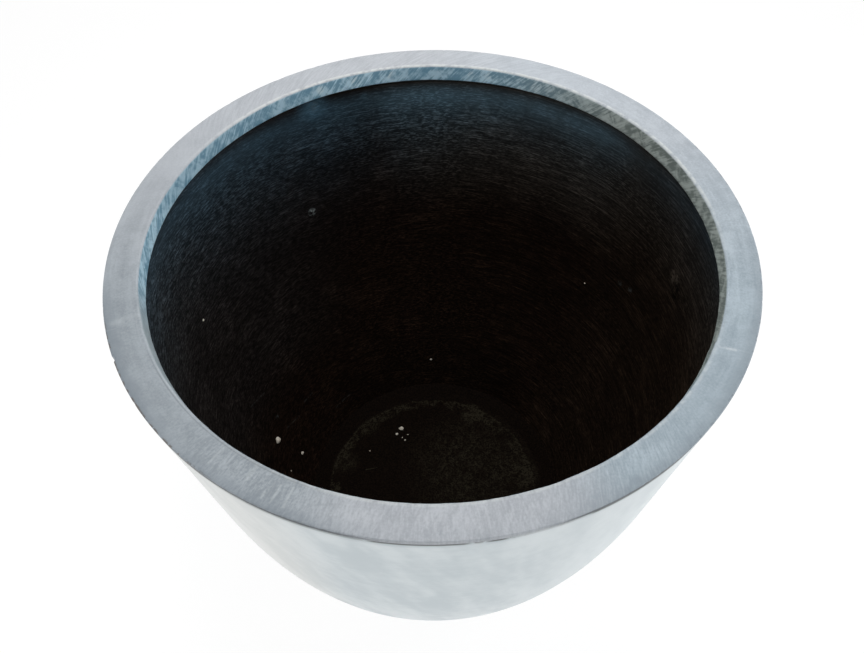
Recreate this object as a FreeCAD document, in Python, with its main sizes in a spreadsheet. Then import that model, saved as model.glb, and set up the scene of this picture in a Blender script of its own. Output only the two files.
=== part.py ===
# Round fibreglass planter: a tapered shell with a bellied foot, a bonded floor and a flat rim
# whose three segments are bedded on adhesive and turn down into a lip on the inside.
# Millimetres and degrees, +Z up, with the origin on the ground in the middle of the foot.
import FreeCAD, Part
import math
import os
import Sketcher

# Driving dimensions: name, value and what it measures
PLANTER_SIZES = [
    ("rim_radius", "300", "outer radius at the top, where rim and wall are flush"),
    ("pot_height", "500", "ground to the flat top of the rim"),
    ("wall_taper", "8", "lean of the straight wall from upright, degrees"),
    ("taper_end_height", "300", "height where the straight wall turns into the belly"),
    ("belly_radius", "740", "radius of the belly, measured on the outside"),
    ("wall_thickness", "6", "laminate of the wall"),
    ("foot_width", "40", "width of the flange that the planter stands on"),
    ("foot_thickness", "4", "laminate of that flange"),
    ("plate_thickness", "4", "base plate laid on the flange"),
    ("plate_clearance", "0.5", "play between the base plate and the wall"),
    ("bead_leg", "12", "legs of the fillet that bonds the plate to the wall"),
    ("coat_thickness", "1", "brushed coat on the wall and the floor"),
    ("rim_width", "31", "width of the flat top of the rim"),
    ("cap_thickness", "6", "thickness of the flat of the rim"),
    ("bond_thickness", "1", "bed of adhesive under the rim"),
    ("lip_depth", "17", "rim top to the foot of the lip"),
    ("lip_taper", "10", "lean of the lip towards the middle, degrees"),
    ("lip_thickness", "5", "thickness of the lip"),
    ("core_slope", "45", "fall of the packing behind the lip, from level, degrees"),
    ("right_joint_azimuth", "-27.3", "rim joint on the right, degrees from +X"),
    ("back_joint_azimuth", "88", "rim joint at the back, degrees from +X"),
    ("left_joint_azimuth", "200.2", "rim joint on the left, degrees from +X"),
    ("joint_angle", "0.25", "filler in each rim joint, degrees of the rim"),
]

doc = FreeCAD.newDocument("fibreglass_planter")
sheet = doc.addObject("Spreadsheet::Sheet", "sizes")
for row, (alias, value, meaning) in enumerate(PLANTER_SIZES, start=1):
    sheet.set(f"A{row}", meaning)
    sheet.set(f"B{row}", value)
    sheet.setAlias(f"B{row}", alias)
doc.recompute()

# Heights and radii of the section that more than one piece shares
places = doc.addObject("App::VarSet", "places")


def add_place(name, expression):
    """A named place of the section, worked out from the driving dimensions."""
    places.addProperty("App::PropertyFloat", name, "Section")
    places.setExpression(name, expression)
    doc.recompute()


def taper_radius(height, depth="0"):
    """Radius of the straight wall at a height, at a depth inside its outer face."""
    fall = f"(sizes.pot_height - {height}) * tan(sizes.wall_taper)"
    return f"sizes.rim_radius - {fall} - ({depth}) / cos(sizes.wall_taper)"


def belly_radius(height, depth="0"):
    """Radius of the belly at a height, at a depth inside its outer face."""
    drop = f"(places.belly_centre_height - {height})"
    return f"places.belly_centre_radius + sqrt((sizes.belly_radius - ({depth}))^2 - {drop}^2)"


def taper_end(depth="0"):
    """Point where straight wall and belly meet, at a depth inside the outer face."""
    radius = f"places.taper_end_radius - ({depth}) * cos(sizes.wall_taper)"
    height = f"sizes.taper_end_height + ({depth}) * sin(sizes.wall_taper)"
    return radius, height


def lip_front(height):
    """Radius of the visible face of the lip at a height."""
    return f"sizes.rim_radius - sizes.rim_width - (sizes.pot_height - {height}) * tan(sizes.lip_taper)"


def lip_back(height):
    """Radius of the hidden face of the lip at a height."""
    return f"{lip_front(height)} + sizes.lip_thickness"


WALL = "sizes.wall_thickness"
COATED_WALL = "sizes.wall_thickness + sizes.coat_thickness"

add_place("taper_end_radius", taper_radius("sizes.taper_end_height"))
add_place("belly_centre_radius", "places.taper_end_radius - sizes.belly_radius * cos(sizes.wall_taper)")
add_place("belly_centre_height", "sizes.taper_end_height + sizes.belly_radius * sin(sizes.wall_taper)")
add_place("foot_radius", belly_radius("0"))
add_place("plate_top", "sizes.foot_thickness + sizes.plate_thickness")
add_place("floor_top", "places.plate_top + sizes.coat_thickness")
add_place("bead_toe_radius", f"{belly_radius('places.plate_top', WALL)} - sizes.bead_leg")
add_place("bead_top", "places.plate_top + sizes.bead_leg")
add_place("cap_underside", "sizes.pot_height - sizes.cap_thickness")
add_place("shell_top", "places.cap_underside - sizes.bond_thickness")
add_place("lip_foot", "sizes.pot_height - sizes.lip_depth")

# The packing falls from the back of the lip to the wall, and the coat runs over it
SLOPE_CLOSING = "(1 / tan(sizes.core_slope) + tan(sizes.wall_taper))"
COAT_SHIFT = "sizes.coat_thickness / sin(sizes.core_slope)"
CORE_SPAN = f"({taper_radius('places.lip_foot', WALL)} - ({lip_back('places.lip_foot')}))"
COAT_SPAN = f"({taper_radius('places.lip_foot', COATED_WALL)} - ({lip_back('places.lip_foot')}) + {COAT_SHIFT})"
add_place("core_foot", f"places.lip_foot - {CORE_SPAN} / {SLOPE_CLOSING}")
add_place("coat_shoulder", f"places.lip_foot - {COAT_SPAN} / {SLOPE_CLOSING}")


def number(expression):
    """Value of an expression, to start a sketch at its final shape."""
    return float(sheet.evalExpression(expression))


def draw_side(sketch, start, end, bend):
    """One side of a section, and which of its ends lies at its start corner."""
    start_point = FreeCAD.Vector(number(start[0]), number(start[1]), 0)
    end_point = FreeCAD.Vector(number(end[0]), number(end[1]), 0)
    if bend is None:
        return sketch.addGeometry(Part.LineSegment(start_point, end_point)), 1, 2
    centre = FreeCAD.Vector(places.belly_centre_radius, places.belly_centre_height, 0)
    start_angle = math.atan2(start_point.y - centre.y, start_point.x - centre.x)
    end_angle = math.atan2(end_point.y - centre.y, end_point.x - centre.x)
    circle = Part.Circle(centre, FreeCAD.Vector(0, 0, 1), number(bend))
    side = sketch.addGeometry(Part.ArcOfCircle(circle, min(start_angle, end_angle), max(start_angle, end_angle)))
    radius = sketch.addConstraint(Sketcher.Constraint("Radius", side, number(bend)))
    sketch.setExpression(f"Constraints[{radius}]", bend)
    return (side, 1, 2) if start_angle < end_angle else (side, 2, 1)


def bind_corner(sketch, side, end, corner):
    """Hold a corner at its radius and height, or on the axis or the ground."""
    origin, ground, axis = (-1, 1), -1, -2
    for kind, line, expression in (("DistanceX", axis, corner[0]), ("DistanceY", ground, corner[1])):
        if expression == "0":
            sketch.addConstraint(Sketcher.Constraint("PointOnObject", side, end, line))
            continue
        held = sketch.addConstraint(Sketcher.Constraint(kind, *origin, side, end, number(expression)))
        sketch.setExpression(f"Constraints[{held}]", expression)


def turned_piece(label, corners, sweep="360"):
    """A piece turned about the pot's axis from its half section.

    A corner is its radius, its height and, where the side after it follows the belly, the
    radius of that side."""
    body = doc.addObject("PartDesign::Body", label)
    body.Label = label
    upright_plane = next(plane for plane in body.Origin.OriginFeatures if plane.Role == "XZ_Plane")
    sketch = body.newObject("Sketcher::SketchObject", f"{label}_section")
    sketch.AttachmentSupport = (upright_plane, [""])
    sketch.MapMode = "FlatFace"
    doc.recompute()
    sides = []
    for index, corner in enumerate(corners):
        following = corners[(index + 1) % len(corners)]
        bend = corner[2] if len(corner) > 2 else None
        sides.append(draw_side(sketch, corner, following, bend))
    for index, (side, first, last) in enumerate(sides):
        next_side, next_first, next_last = sides[(index + 1) % len(sides)]
        sketch.addConstraint(Sketcher.Constraint("Coincident", side, last, next_side, next_first))
        bind_corner(sketch, side, first, corners[index])
    turning = body.newObject("PartDesign::Revolution", f"{label}_turning")
    turning.Profile = (sketch, [""])
    turning.ReferenceAxis = (sketch, ["V_Axis"])
    turning.setExpression("Angle", sweep)
    doc.recompute()
    return body


def aim(body, azimuth):
    """Turn a partly swept piece about the pot's axis, so that it starts at an azimuth."""
    body.Placement = FreeCAD.Placement(FreeCAD.Vector(), FreeCAD.Rotation(FreeCAD.Vector(0, 0, 1), 1))
    body.setExpression("Placement.Rotation.Angle", azimuth)
    doc.recompute()


# Shell: bellied wall with the flange that it stands on turned in at the foot
OUTER_BELLY = "sizes.belly_radius"
INNER_BELLY = f"sizes.belly_radius - ({WALL})"
COAT_BELLY = f"sizes.belly_radius - ({COATED_WALL})"
FLANGE_EDGE = "places.foot_radius - sizes.foot_width"
pieces = [
    turned_piece("outer_shell", [
        ("places.foot_radius", "0", OUTER_BELLY),
        taper_end(),
        (taper_radius("places.shell_top"), "places.shell_top"),
        (taper_radius("places.shell_top", WALL), "places.shell_top"),
        (*taper_end(WALL), INNER_BELLY),
        (belly_radius("sizes.foot_thickness", WALL), "sizes.foot_thickness"),
        (FLANGE_EDGE, "sizes.foot_thickness"),
        (FLANGE_EDGE, "0"),
    ]),
]

# Floor: a plate on the flange, the fillet that bonds it in, and the coat inside the fillet
PLATE_EDGE = f"{belly_radius('sizes.foot_thickness', WALL)} - sizes.plate_clearance"
pieces += [
    turned_piece("base_plate", [
        ("0", "sizes.foot_thickness"),
        (PLATE_EDGE, "sizes.foot_thickness"),
        (PLATE_EDGE, "places.plate_top"),
        ("0", "places.plate_top"),
    ]),
    turned_piece("floor_bead", [
        ("places.bead_toe_radius", "places.plate_top"),
        (belly_radius("places.plate_top", WALL), "places.plate_top", INNER_BELLY),
        (belly_radius("places.bead_top", WALL), "places.bead_top"),
        (belly_radius("places.bead_top", COATED_WALL), "places.bead_top"),
        ("places.bead_toe_radius", "places.floor_top"),
    ]),
    turned_piece("floor_coating", [
        ("0", "places.plate_top"),
        ("places.bead_toe_radius", "places.plate_top"),
        ("places.bead_toe_radius", "places.floor_top"),
        ("0", "places.floor_top"),
    ]),
]

# Wall coat: from the fillet up the belly and the wall, then under the packing to the lip
LIP_HEEL = lip_back("places.lip_foot")
pieces += [
    turned_piece("wall_coating", [
        (belly_radius("places.bead_top", WALL), "places.bead_top", INNER_BELLY),
        taper_end(WALL),
        (taper_radius("places.core_foot", WALL), "places.core_foot"),
        (LIP_HEEL, "places.lip_foot"),
        (f"{LIP_HEEL} - {COAT_SHIFT}", "places.lip_foot"),
        (taper_radius("places.coat_shoulder", COATED_WALL), "places.coat_shoulder"),
        (*taper_end(COATED_WALL), COAT_BELLY),
        (belly_radius("places.bead_top", COATED_WALL), "places.bead_top"),
    ]),
]

# Under the rim: the packing behind the lip, and the bed of adhesive over packing and wall
pieces += [
    turned_piece("rim_core", [
        (lip_back("places.shell_top"), "places.shell_top"),
        (taper_radius("places.shell_top", WALL), "places.shell_top"),
        (taper_radius("places.core_foot", WALL), "places.core_foot"),
        (LIP_HEEL, "places.lip_foot"),
    ]),
    turned_piece("rim_bond_line", [
        (lip_back("places.cap_underside"), "places.cap_underside"),
        (taper_radius("places.cap_underside"), "places.cap_underside"),
        (taper_radius("places.shell_top"), "places.shell_top"),
        (lip_back("places.shell_top"), "places.shell_top"),
    ]),
]

# Rim: three segments of one angle section, butted at joints that are filled
RIM_SECTION = [
    (lip_front("sizes.pot_height"), "sizes.pot_height"),
    ("sizes.rim_radius", "sizes.pot_height"),
    (taper_radius("places.cap_underside"), "places.cap_underside"),
    (lip_back("places.cap_underside"), "places.cap_underside"),
    (LIP_HEEL, "places.lip_foot"),
    (lip_front("places.lip_foot"), "places.lip_foot"),
]
RIM_SEGMENTS = [
    ("front_rim_segment", "sizes.left_joint_azimuth", "sizes.right_joint_azimuth + 360"),
    ("right_rim_segment", "sizes.right_joint_azimuth", "sizes.back_joint_azimuth"),
    ("left_rim_segment", "sizes.back_joint_azimuth", "sizes.left_joint_azimuth"),
]
RIM_JOINTS = [
    ("right_rim_joint", "sizes.right_joint_azimuth"),
    ("back_rim_joint", "sizes.back_joint_azimuth"),
    ("left_rim_joint", "sizes.left_joint_azimuth"),
]
for name, first_joint, last_joint in RIM_SEGMENTS:
    segment = turned_piece(name, RIM_SECTION, f"{last_joint} - ({first_joint}) - sizes.joint_angle")
    aim(segment, f"{first_joint} + sizes.joint_angle / 2")
    pieces.append(segment)
for name, azimuth in RIM_JOINTS:
    filler = turned_piece(name, RIM_SECTION, "sizes.joint_angle")
    aim(filler, f"{azimuth} - sizes.joint_angle / 2")
    pieces.append(filler)

# Nothing is written unless every object is sound
doc.recompute()
for item in doc.Objects:
    if "Invalid" in item.State or "Error" in item.State:
        raise RuntimeError(f"{item.Label} failed: {item.State}")
for piece in pieces:
    if piece.Shape.isNull() or not piece.Shape.isValid() or len(piece.Shape.Solids) != 1:
        raise RuntimeError(f"{piece.Label} is not one valid solid")

os.makedirs("parts", exist_ok=True)
for piece in pieces:
    piece.Shape.exportStep(f"parts/{piece.Label}.step")
    print(f"{piece.Label}: {piece.Shape.Volume / 1000:.1f} cm3")
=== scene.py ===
# %% [markdown]
# # A fibreglass planter
# The planter is a round, tapered pot that was laid up by hand from glass mat and resin. It has a lead-grey
# outside, a flat sanded rim with a lip turned down inside, and a black brushed coat over the mat inside.
# The CAD frame holds its thirteen pieces at their real size. This lesson gives each piece that shows a
# finer mesh and a finish of its own, in the same frame and in metres.

# %% Load the frame
import math

import bmesh
import bpy
from mathutils import Matrix, Vector, noise


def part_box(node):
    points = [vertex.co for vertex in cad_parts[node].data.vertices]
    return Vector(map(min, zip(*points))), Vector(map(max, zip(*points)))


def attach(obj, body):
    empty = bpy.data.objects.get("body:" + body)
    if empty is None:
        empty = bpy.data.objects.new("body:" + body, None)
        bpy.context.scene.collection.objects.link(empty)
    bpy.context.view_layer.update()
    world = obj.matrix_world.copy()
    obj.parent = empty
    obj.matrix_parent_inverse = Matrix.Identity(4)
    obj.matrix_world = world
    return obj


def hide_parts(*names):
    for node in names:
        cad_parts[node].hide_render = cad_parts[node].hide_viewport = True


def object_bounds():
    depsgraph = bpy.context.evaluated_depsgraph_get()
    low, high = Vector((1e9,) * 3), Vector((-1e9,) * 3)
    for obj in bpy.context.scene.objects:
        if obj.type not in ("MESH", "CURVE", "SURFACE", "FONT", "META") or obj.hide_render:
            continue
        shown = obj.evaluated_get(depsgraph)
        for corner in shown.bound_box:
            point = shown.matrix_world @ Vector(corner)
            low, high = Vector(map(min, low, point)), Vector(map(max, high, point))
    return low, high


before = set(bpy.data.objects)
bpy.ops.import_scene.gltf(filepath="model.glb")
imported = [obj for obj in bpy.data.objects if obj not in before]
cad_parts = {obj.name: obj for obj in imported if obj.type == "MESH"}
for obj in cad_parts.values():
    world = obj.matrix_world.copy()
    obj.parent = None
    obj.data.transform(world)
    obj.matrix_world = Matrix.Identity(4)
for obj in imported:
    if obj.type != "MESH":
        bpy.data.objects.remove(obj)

cad_low, cad_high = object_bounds()
print("CAD box", [round(side, 4) for side in cad_high - cad_low], "nodes", sorted(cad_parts))

# %% [markdown]
# ## The section of the pot
# Everything on this pot is turned about one upright axis, so one drawing of half its section gives every
# piece. The wall leans out by 8 degrees above, and below it bends in on one large arc, the belly.
# The heights come from the CAD nodes. The few sizes that a box can't tell are written here.

# %% Sizes of the section
MM = 0.001
POT_HEIGHT = cad_high.z
RIM_RADIUS = min(cad_high.x, cad_high.y)
RIM_WIDTH = 31 * MM
LIP_THICKNESS = 5 * MM
LIP_LEAN = math.radians(10)
WALL_LEAN = math.radians(8)
TAPER_END = 300 * MM
BELLY_RADIUS = 740 * MM
WALL_THICKNESS = 6 * MM
COATED_WALL = WALL_THICKNESS + 1 * MM
FLANGE_WIDTH = 40 * MM

FLANGE_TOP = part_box("base_plate")[0].z
PLATE_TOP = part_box("base_plate")[1].z
FLOOR_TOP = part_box("floor_coating")[1].z
FLOOR_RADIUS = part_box("floor_coating")[1].x
BEAD_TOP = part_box("floor_bead")[1].z
CORE_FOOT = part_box("rim_core")[0].z
LIP_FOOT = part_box("front_rim_segment")[0].z
SHELL_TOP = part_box("outer_shell")[1].z
CAP_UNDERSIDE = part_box("rim_bond_line")[1].z
INNER_EDGE = RIM_RADIUS - RIM_WIDTH

BEND_RADIUS = RIM_RADIUS - (POT_HEIGHT - TAPER_END) * math.tan(WALL_LEAN)
BELLY_CENTRE_RADIUS = BEND_RADIUS - BELLY_RADIUS * math.cos(WALL_LEAN)
BELLY_CENTRE_HEIGHT = TAPER_END + BELLY_RADIUS * math.sin(WALL_LEAN)


def taper_end(depth=0.0):
    """Radius and height where the straight wall turns into the belly, at a depth inside its outer face."""
    return BEND_RADIUS - depth * math.cos(WALL_LEAN), TAPER_END + depth * math.sin(WALL_LEAN)


def wall_radius(height, depth=0.0):
    """Radius of the wall at a height, and at a depth inside its outer face."""
    if height >= taper_end(depth)[1]:
        return RIM_RADIUS - (POT_HEIGHT - height) * math.tan(WALL_LEAN) - depth / math.cos(WALL_LEAN)
    drop = BELLY_CENTRE_HEIGHT - height
    return BELLY_CENTRE_RADIUS + math.sqrt((BELLY_RADIUS - depth) ** 2 - drop ** 2)


def lip_radius(height, depth=0.0):
    """Radius of the lip's front at a height, or of its back at the lip's depth."""
    return INNER_EDGE - (POT_HEIGHT - height) * math.tan(LIP_LEAN) + depth / math.cos(LIP_LEAN)


FOOT_RADIUS = wall_radius(0.0)
HEEL_RADIUS = lip_radius(LIP_FOOT, LIP_THICKNESS)
print("foot radius", round(FOOT_RADIUS, 4), "lip foot radius", round(lip_radius(LIP_FOOT), 4))

# %% [markdown]
# ## Drawing and turning
# A turned piece starts as one vertex, which is a plane merged to its centre. The vertex is extruded from
# corner to corner until the outline closes, and spun along the belly where a side is an arc. A vertex
# bevel eases a corner, as sandpaper would, and subdivide cuts the long sides so that there is something
# to carve later. A Screw modifier then turns the outline about the upright axis and is applied. Spin could
# do that too, but it grows slow with hundreds of steps. An outline turned by less than a full turn gets
# its two ends filled.

# %% Draw an outline
MERGE_DISTANCE = 0.01 * MM


def belly_angle(corner):
    """Angle of a corner about the centre of the belly's arc."""
    return math.atan2(corner[1] - BELLY_CENTRE_HEIGHT, corner[0] - BELLY_CENTRE_RADIUS)


def draw_outline(name, corners):
    """Start a piece as a closed outline of corners, each a radius and a height.

    A third value makes the side after that corner an arc of the belly, in so many steps.
    """
    bpy.ops.object.select_all(action="DESELECT")
    bpy.ops.mesh.primitive_plane_add(size=MM)
    piece = bpy.context.object
    piece.name = name
    piece.data.name = name
    bpy.ops.object.mode_set(mode="EDIT")
    bpy.ops.mesh.merge(type="CENTER")
    bpy.ops.transform.translate(value=(corners[0][0], 0.0, corners[0][1]))
    for corner, following in zip(corners, corners[1:] + corners[:1]):
        if len(corner) > 2:
            centre = (BELLY_CENTRE_RADIUS, 0.0, BELLY_CENTRE_HEIGHT)
            bend = belly_angle(following) - belly_angle(corner)
            bpy.ops.mesh.spin(steps=corner[2], angle=bend, center=centre, axis=(0, 1, 0))
        else:
            step = (following[0] - corner[0], 0.0, following[1] - corner[1])
            bpy.ops.mesh.extrude_vertices_move(TRANSFORM_OT_translate={"value": step})
    bpy.ops.mesh.select_all(action="SELECT")
    bpy.ops.mesh.remove_doubles(threshold=MERGE_DISTANCE)
    return piece


def ease_corner(piece, corner, reach, segments=4):
    """Round off the outline's corner that lies nearest to a radius and a height."""
    outline = bmesh.from_edit_mesh(piece.data)
    spot = Vector((corner[0], 0.0, corner[1]))
    nearest = min(outline.verts, key=lambda vertex: (vertex.co - spot).length)
    for vertex in outline.verts:
        vertex.select_set(vertex == nearest)
    outline.select_flush_mode()
    bmesh.update_edit_mesh(piece.data)
    bpy.ops.mesh.bevel(offset=reach, segments=segments, affect="VERTICES")


def divide_sides(piece, longest, wanted=lambda middle: True):
    """Cut the outline's sides until none of those whose middle is wanted is longer than a length."""
    def parts_of(edge):
        middle = (edge.verts[0].co + edge.verts[1].co) / 2
        return math.ceil(edge.calc_length() / longest - 0.001) if wanted(middle) else 1

    counts = {parts_of(edge) for edge in bmesh.from_edit_mesh(piece.data).edges}
    for count in sorted(counts - {1}, reverse=True):
        bpy.ops.mesh.select_all(action="DESELECT")
        outline = bmesh.from_edit_mesh(piece.data)
        for edge in outline.edges:
            if parts_of(edge) == count:
                edge.select_set(True)
        bmesh.update_edit_mesh(piece.data)
        bpy.ops.mesh.subdivide(number_cuts=count - 1)


belly_bend = belly_angle(taper_end()) - belly_angle((FOOT_RADIUS, 0.0))
print("the belly bends by", round(math.degrees(belly_bend), 1), "degrees")

# %% Turn an outline
FULL_TURN = 360.0


def turn_outline(piece, steps, first_azimuth=0.0, sweep=FULL_TURN):
    """Turn the outline about the pot's axis, close it, and point its faces outwards."""
    bpy.ops.mesh.select_all(action="SELECT")
    # With no window, rotate turns the other way round.
    bpy.ops.transform.rotate(value=-math.radians(first_azimuth), orient_axis="Z", center_override=(0, 0, 0))
    bpy.ops.object.mode_set(mode="OBJECT")
    bpy.ops.object.modifier_add(type="SCREW")
    screw = piece.modifiers[-1]
    screw.angle = math.radians(sweep)
    screw.steps = steps
    screw.render_steps = steps
    bpy.ops.object.modifier_apply(modifier=screw.name)
    bpy.ops.object.mode_set(mode="EDIT")
    bpy.ops.mesh.select_all(action="SELECT")
    bpy.ops.mesh.remove_doubles(threshold=MERGE_DISTANCE)
    if sweep < FULL_TURN:
        bpy.ops.mesh.select_all(action="DESELECT")
        bpy.ops.mesh.select_non_manifold(extend=False)
        bpy.ops.mesh.fill_holes(sides=0)
        bpy.ops.mesh.select_all(action="SELECT")
    bpy.ops.mesh.normals_make_consistent(inside=False)
    bpy.ops.object.mode_set(mode="OBJECT")


print("one degree of the rim is", round(RIM_RADIUS * math.radians(1.0) / MM, 2), "mm long")

# %% [markdown]
# ## Carving by hand
# Hand work leaves nothing quite even: the wall waves, the rim is nicked, the coat is streaked. In Blender
# one would use sculpt brushes, which need a window. Here a rule says how far each vertex moves, from
# smooth noise at its own place, so the same pot comes out every time. The shading is smoothed last,
# because it marks the edges that are sharp in the finished shape.

# %% Carve and smooth
pieces = {}


def radius_of(place):
    """Distance of a place from the pot's axis."""
    return math.hypot(place.x, place.y)


def azimuth_of(place):
    """Angle about the pot's axis, in degrees from +X towards +Y."""
    return math.degrees(math.atan2(place.y, place.x))


def direction(azimuth):
    """Level direction from the pot's axis at an azimuth in degrees."""
    return Vector((math.cos(math.radians(azimuth)), math.sin(math.radians(azimuth)), 0.0))


def off_by(azimuth, centre):
    """How far an azimuth lies from another, the short way round, in degrees."""
    return abs((azimuth - centre + 180.0) % 360.0 - 180.0)


def fade(distance, reach):
    """One at no distance, falling smoothly to nothing at the reach."""
    share = min(max(1.0 - distance / reach, 0.0), 1.0)
    return share * share * (3.0 - 2.0 * share)


def around(place, size, seed=0.0):
    """Smooth noise from -1 to 1 that runs round the pot, with features of about a size."""
    stretch = RIM_RADIUS / size / radius_of(place)
    return noise.noise((place.x * stretch, place.y * stretch, seed))


def carve(piece, inward, down=None):
    """Move every vertex towards the axis and downwards by what two rules give for its place."""
    for vertex in piece.data.vertices:
        place = vertex.co.copy()
        radius = radius_of(place)
        if radius > MERGE_DISTANCE:
            shrink = 1.0 - inward(place) / radius
            vertex.co.x *= shrink
            vertex.co.y *= shrink
        if down:
            vertex.co.z -= down(place)
    piece.data.update()


def finish_piece(piece, crease=35.0):
    """Smooth the piece's shading up to a crease angle, and keep it by name."""
    bpy.ops.object.select_all(action="DESELECT")
    piece.select_set(True)
    bpy.context.view_layer.objects.active = piece
    bpy.ops.object.shade_smooth_by_angle(angle=math.radians(crease))
    pieces[piece.name] = piece
    triangles = sum(len(face.vertices) - 2 for face in piece.data.polygons)
    print(piece.name, "has", triangles, "triangles")


print("fade in quarters of its reach", [fade(step / 4, 1.0) for step in range(5)])

# %% [markdown]
# ## The outer shell
# The shell is one moulding, drawn from a one-piece mould: the leaning wall, the belly and a flange turned
# in at the foot, which the pot stands on. A plain cone would lose the belly, so the outline follows
# the arc. The foot's corner is eased, and the wall waves by a few tenths of a millimetre, because the
# laminate shrank as it cured. Under the rim its upper edge is worn back into a small groove, deep along
# some stretches and painted shut along others. The inner face stays on the coat.

# %% Section and wear of the shell
BELLY_ROWS = 40
SHELL_STEPS = 360
SHELL_SIDE = 8 * MM
FOOT_EASE = 5 * MM
WALL_WAVE = 0.5 * MM
WAVE_FADE = 30 * MM
LONG_WAVE = 110 * MM
SHORT_WAVE = 40 * MM
GROOVE_HEIGHT = 2.4 * MM
GROOVE_FADE = 0.9
HIDDEN_GROOVE = 0.9 * MM
HIDDEN_GROOVE_RUN = 60 * MM
GROOVE_GRAIN = 9 * MM
GROOVE_STRETCHES = [(-150.0, -100.5, 0.8 * MM), (-99.5, -85.4, 1.5 * MM), (-82.4, -80.2, 1.6 * MM),
                    (-79.0, -68.0, 0.5 * MM), (-67.0, -50.0, 1.6 * MM)]
DEEP_GROOVE = 1.6 * MM
SEEN_FIRST, SEEN_LAST = -150.0, -50.0

shell_corners = [
    (FOOT_RADIUS, 0.0, BELLY_ROWS),
    taper_end(),
    (wall_radius(SHELL_TOP - GROOVE_HEIGHT), SHELL_TOP - GROOVE_HEIGHT),
    (wall_radius(SHELL_TOP - GROOVE_HEIGHT / 2), SHELL_TOP - GROOVE_HEIGHT / 2),
    (wall_radius(SHELL_TOP), SHELL_TOP),
    (wall_radius(SHELL_TOP, WALL_THICKNESS), SHELL_TOP),
    (*taper_end(WALL_THICKNESS), BELLY_ROWS),
    (wall_radius(FLANGE_TOP, WALL_THICKNESS), FLANGE_TOP),
    (FOOT_RADIUS - FLANGE_WIDTH, FLANGE_TOP),
    (FOOT_RADIUS - FLANGE_WIDTH, 0.0),
]


def groove_depth(place):
    """How deep the groove under the rim is at a place: by stretches in front, by noise elsewhere."""
    azimuth = azimuth_of(place)
    if not SEEN_FIRST < azimuth < SEEN_LAST:
        return (0.5 + 0.5 * around(place, HIDDEN_GROOVE_RUN, seed=21.0)) * HIDDEN_GROOVE
    depths = [depth * fade(max(off_by(azimuth, (first + last) / 2) - (last - first) / 2, 0.0), GROOVE_FADE)
              for first, last, depth in GROOVE_STRETCHES]
    return max(depths) * (0.85 + 0.3 * around(place, GROOVE_GRAIN, seed=23.0))


def shell_wear(place):
    """How far the outer face of the shell is drawn in: waves on the wall, and the groove at its top."""
    if radius_of(place) < wall_radius(place.z, WALL_THICKNESS / 2):
        return 0.0
    ends = min(place.z, SHELL_TOP - place.z)
    wave = noise.noise(place / LONG_WAVE) + 0.5 * noise.noise(place / SHORT_WAVE)
    groove = groove_depth(place) * fade(SHELL_TOP - place.z, GROOVE_HEIGHT)
    return WALL_WAVE * (0.5 + 0.33 * wave) * (1.0 - fade(ends, WAVE_FADE)) + groove


print("the shell's section has", len(shell_corners), "corners")

# %% Turn the shell
outer_shell = draw_outline("planter_shell", shell_corners)
ease_corner(outer_shell, (FOOT_RADIUS, 0.0), FOOT_EASE)
divide_sides(outer_shell, SHELL_SIDE)
turn_outline(outer_shell, SHELL_STEPS)
carve(outer_shell, shell_wear)
finish_piece(outer_shell)

# %% [markdown]
# ## The wall coat
# Inside, a thick black coat was brushed over the glass mat, mostly round the pot, with some strokes
# across. It is one skin from the bead at the floor up to the lip. The strokes are real ridges here, a few
# tenths of a millimetre high, so the seen face has a row every 2.3 mm. A bump map alone would leave the
# exported mesh bare. The edge of one sheet of mat shows through as a low ridge, and the resin left a few
# runs and a blister.

# %% Strokes and runs of the wall coat
COAT_STEPS = 400
COAT_ROW = 2.3 * MM
COAT_BELLY_ROWS = 134
COAT_BACK_ROWS = 16
STROKE_HEIGHT = 0.55 * MM
STROKE_LENGTH = 26 * MM
STROKE_WIDTH = 5 * MM
STROKE_PATCH = 70 * MM
COAT_SHIFT = 1.414 * MM
COAT_SHOULDER = CORE_FOOT - 0.35 * MM
COAT_END_FADE = 8 * MM
FACE_MARGIN = 0.4 * MM
RUNS = [(124.0, 321 * MM, 5 * MM, 1.6 * MM), (11.6, 357 * MM, 13 * MM, 2.2 * MM),
        (9.0, 364 * MM, 7 * MM, 1.5 * MM)]
RUN_GRAIN = 4 * MM
MAT_EDGE_FIRST, MAT_EDGE_LAST = (91.7, 315 * MM), (73.9, 283 * MM)
MAT_EDGE_HEIGHT = 0.7 * MM
MAT_EDGE_REACH = 4 * MM


def coat_spot(azimuth, height):
    """Place on the coat's mean face at an azimuth and a height."""
    return direction(azimuth) * wall_radius(height, COATED_WALL) + Vector((0.0, 0.0, height))


RUN_SPOTS = [(coat_spot(azimuth, height), reach, rise) for azimuth, height, reach, rise in RUNS]
MAT_EDGE_START = coat_spot(*MAT_EDGE_FIRST)
MAT_EDGE_RUN = coat_spot(*MAT_EDGE_LAST) - MAT_EDGE_START


def brush_strokes(place):
    """Height of the brushed coat, from 0 to about 1: long ridges round the pot, some leaning."""
    turn = Vector((place.x, place.y, 0.0)) * (RIM_RADIUS / STROKE_LENGTH / radius_of(place))
    run = place.z / STROKE_WIDTH
    level = noise.noise(turn + Vector((0.0, 0.0, run)))
    leaning = noise.noise(turn * 1.6 + Vector((7.0, 0.0, 0.6 * run + 2.5 * math.sin(turn.x))))
    patches = noise.noise(place / STROKE_PATCH)
    return min(max(0.5 + 0.45 * level + 0.25 * leaning * (1.0 + patches), 0.0), 1.3)


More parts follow.
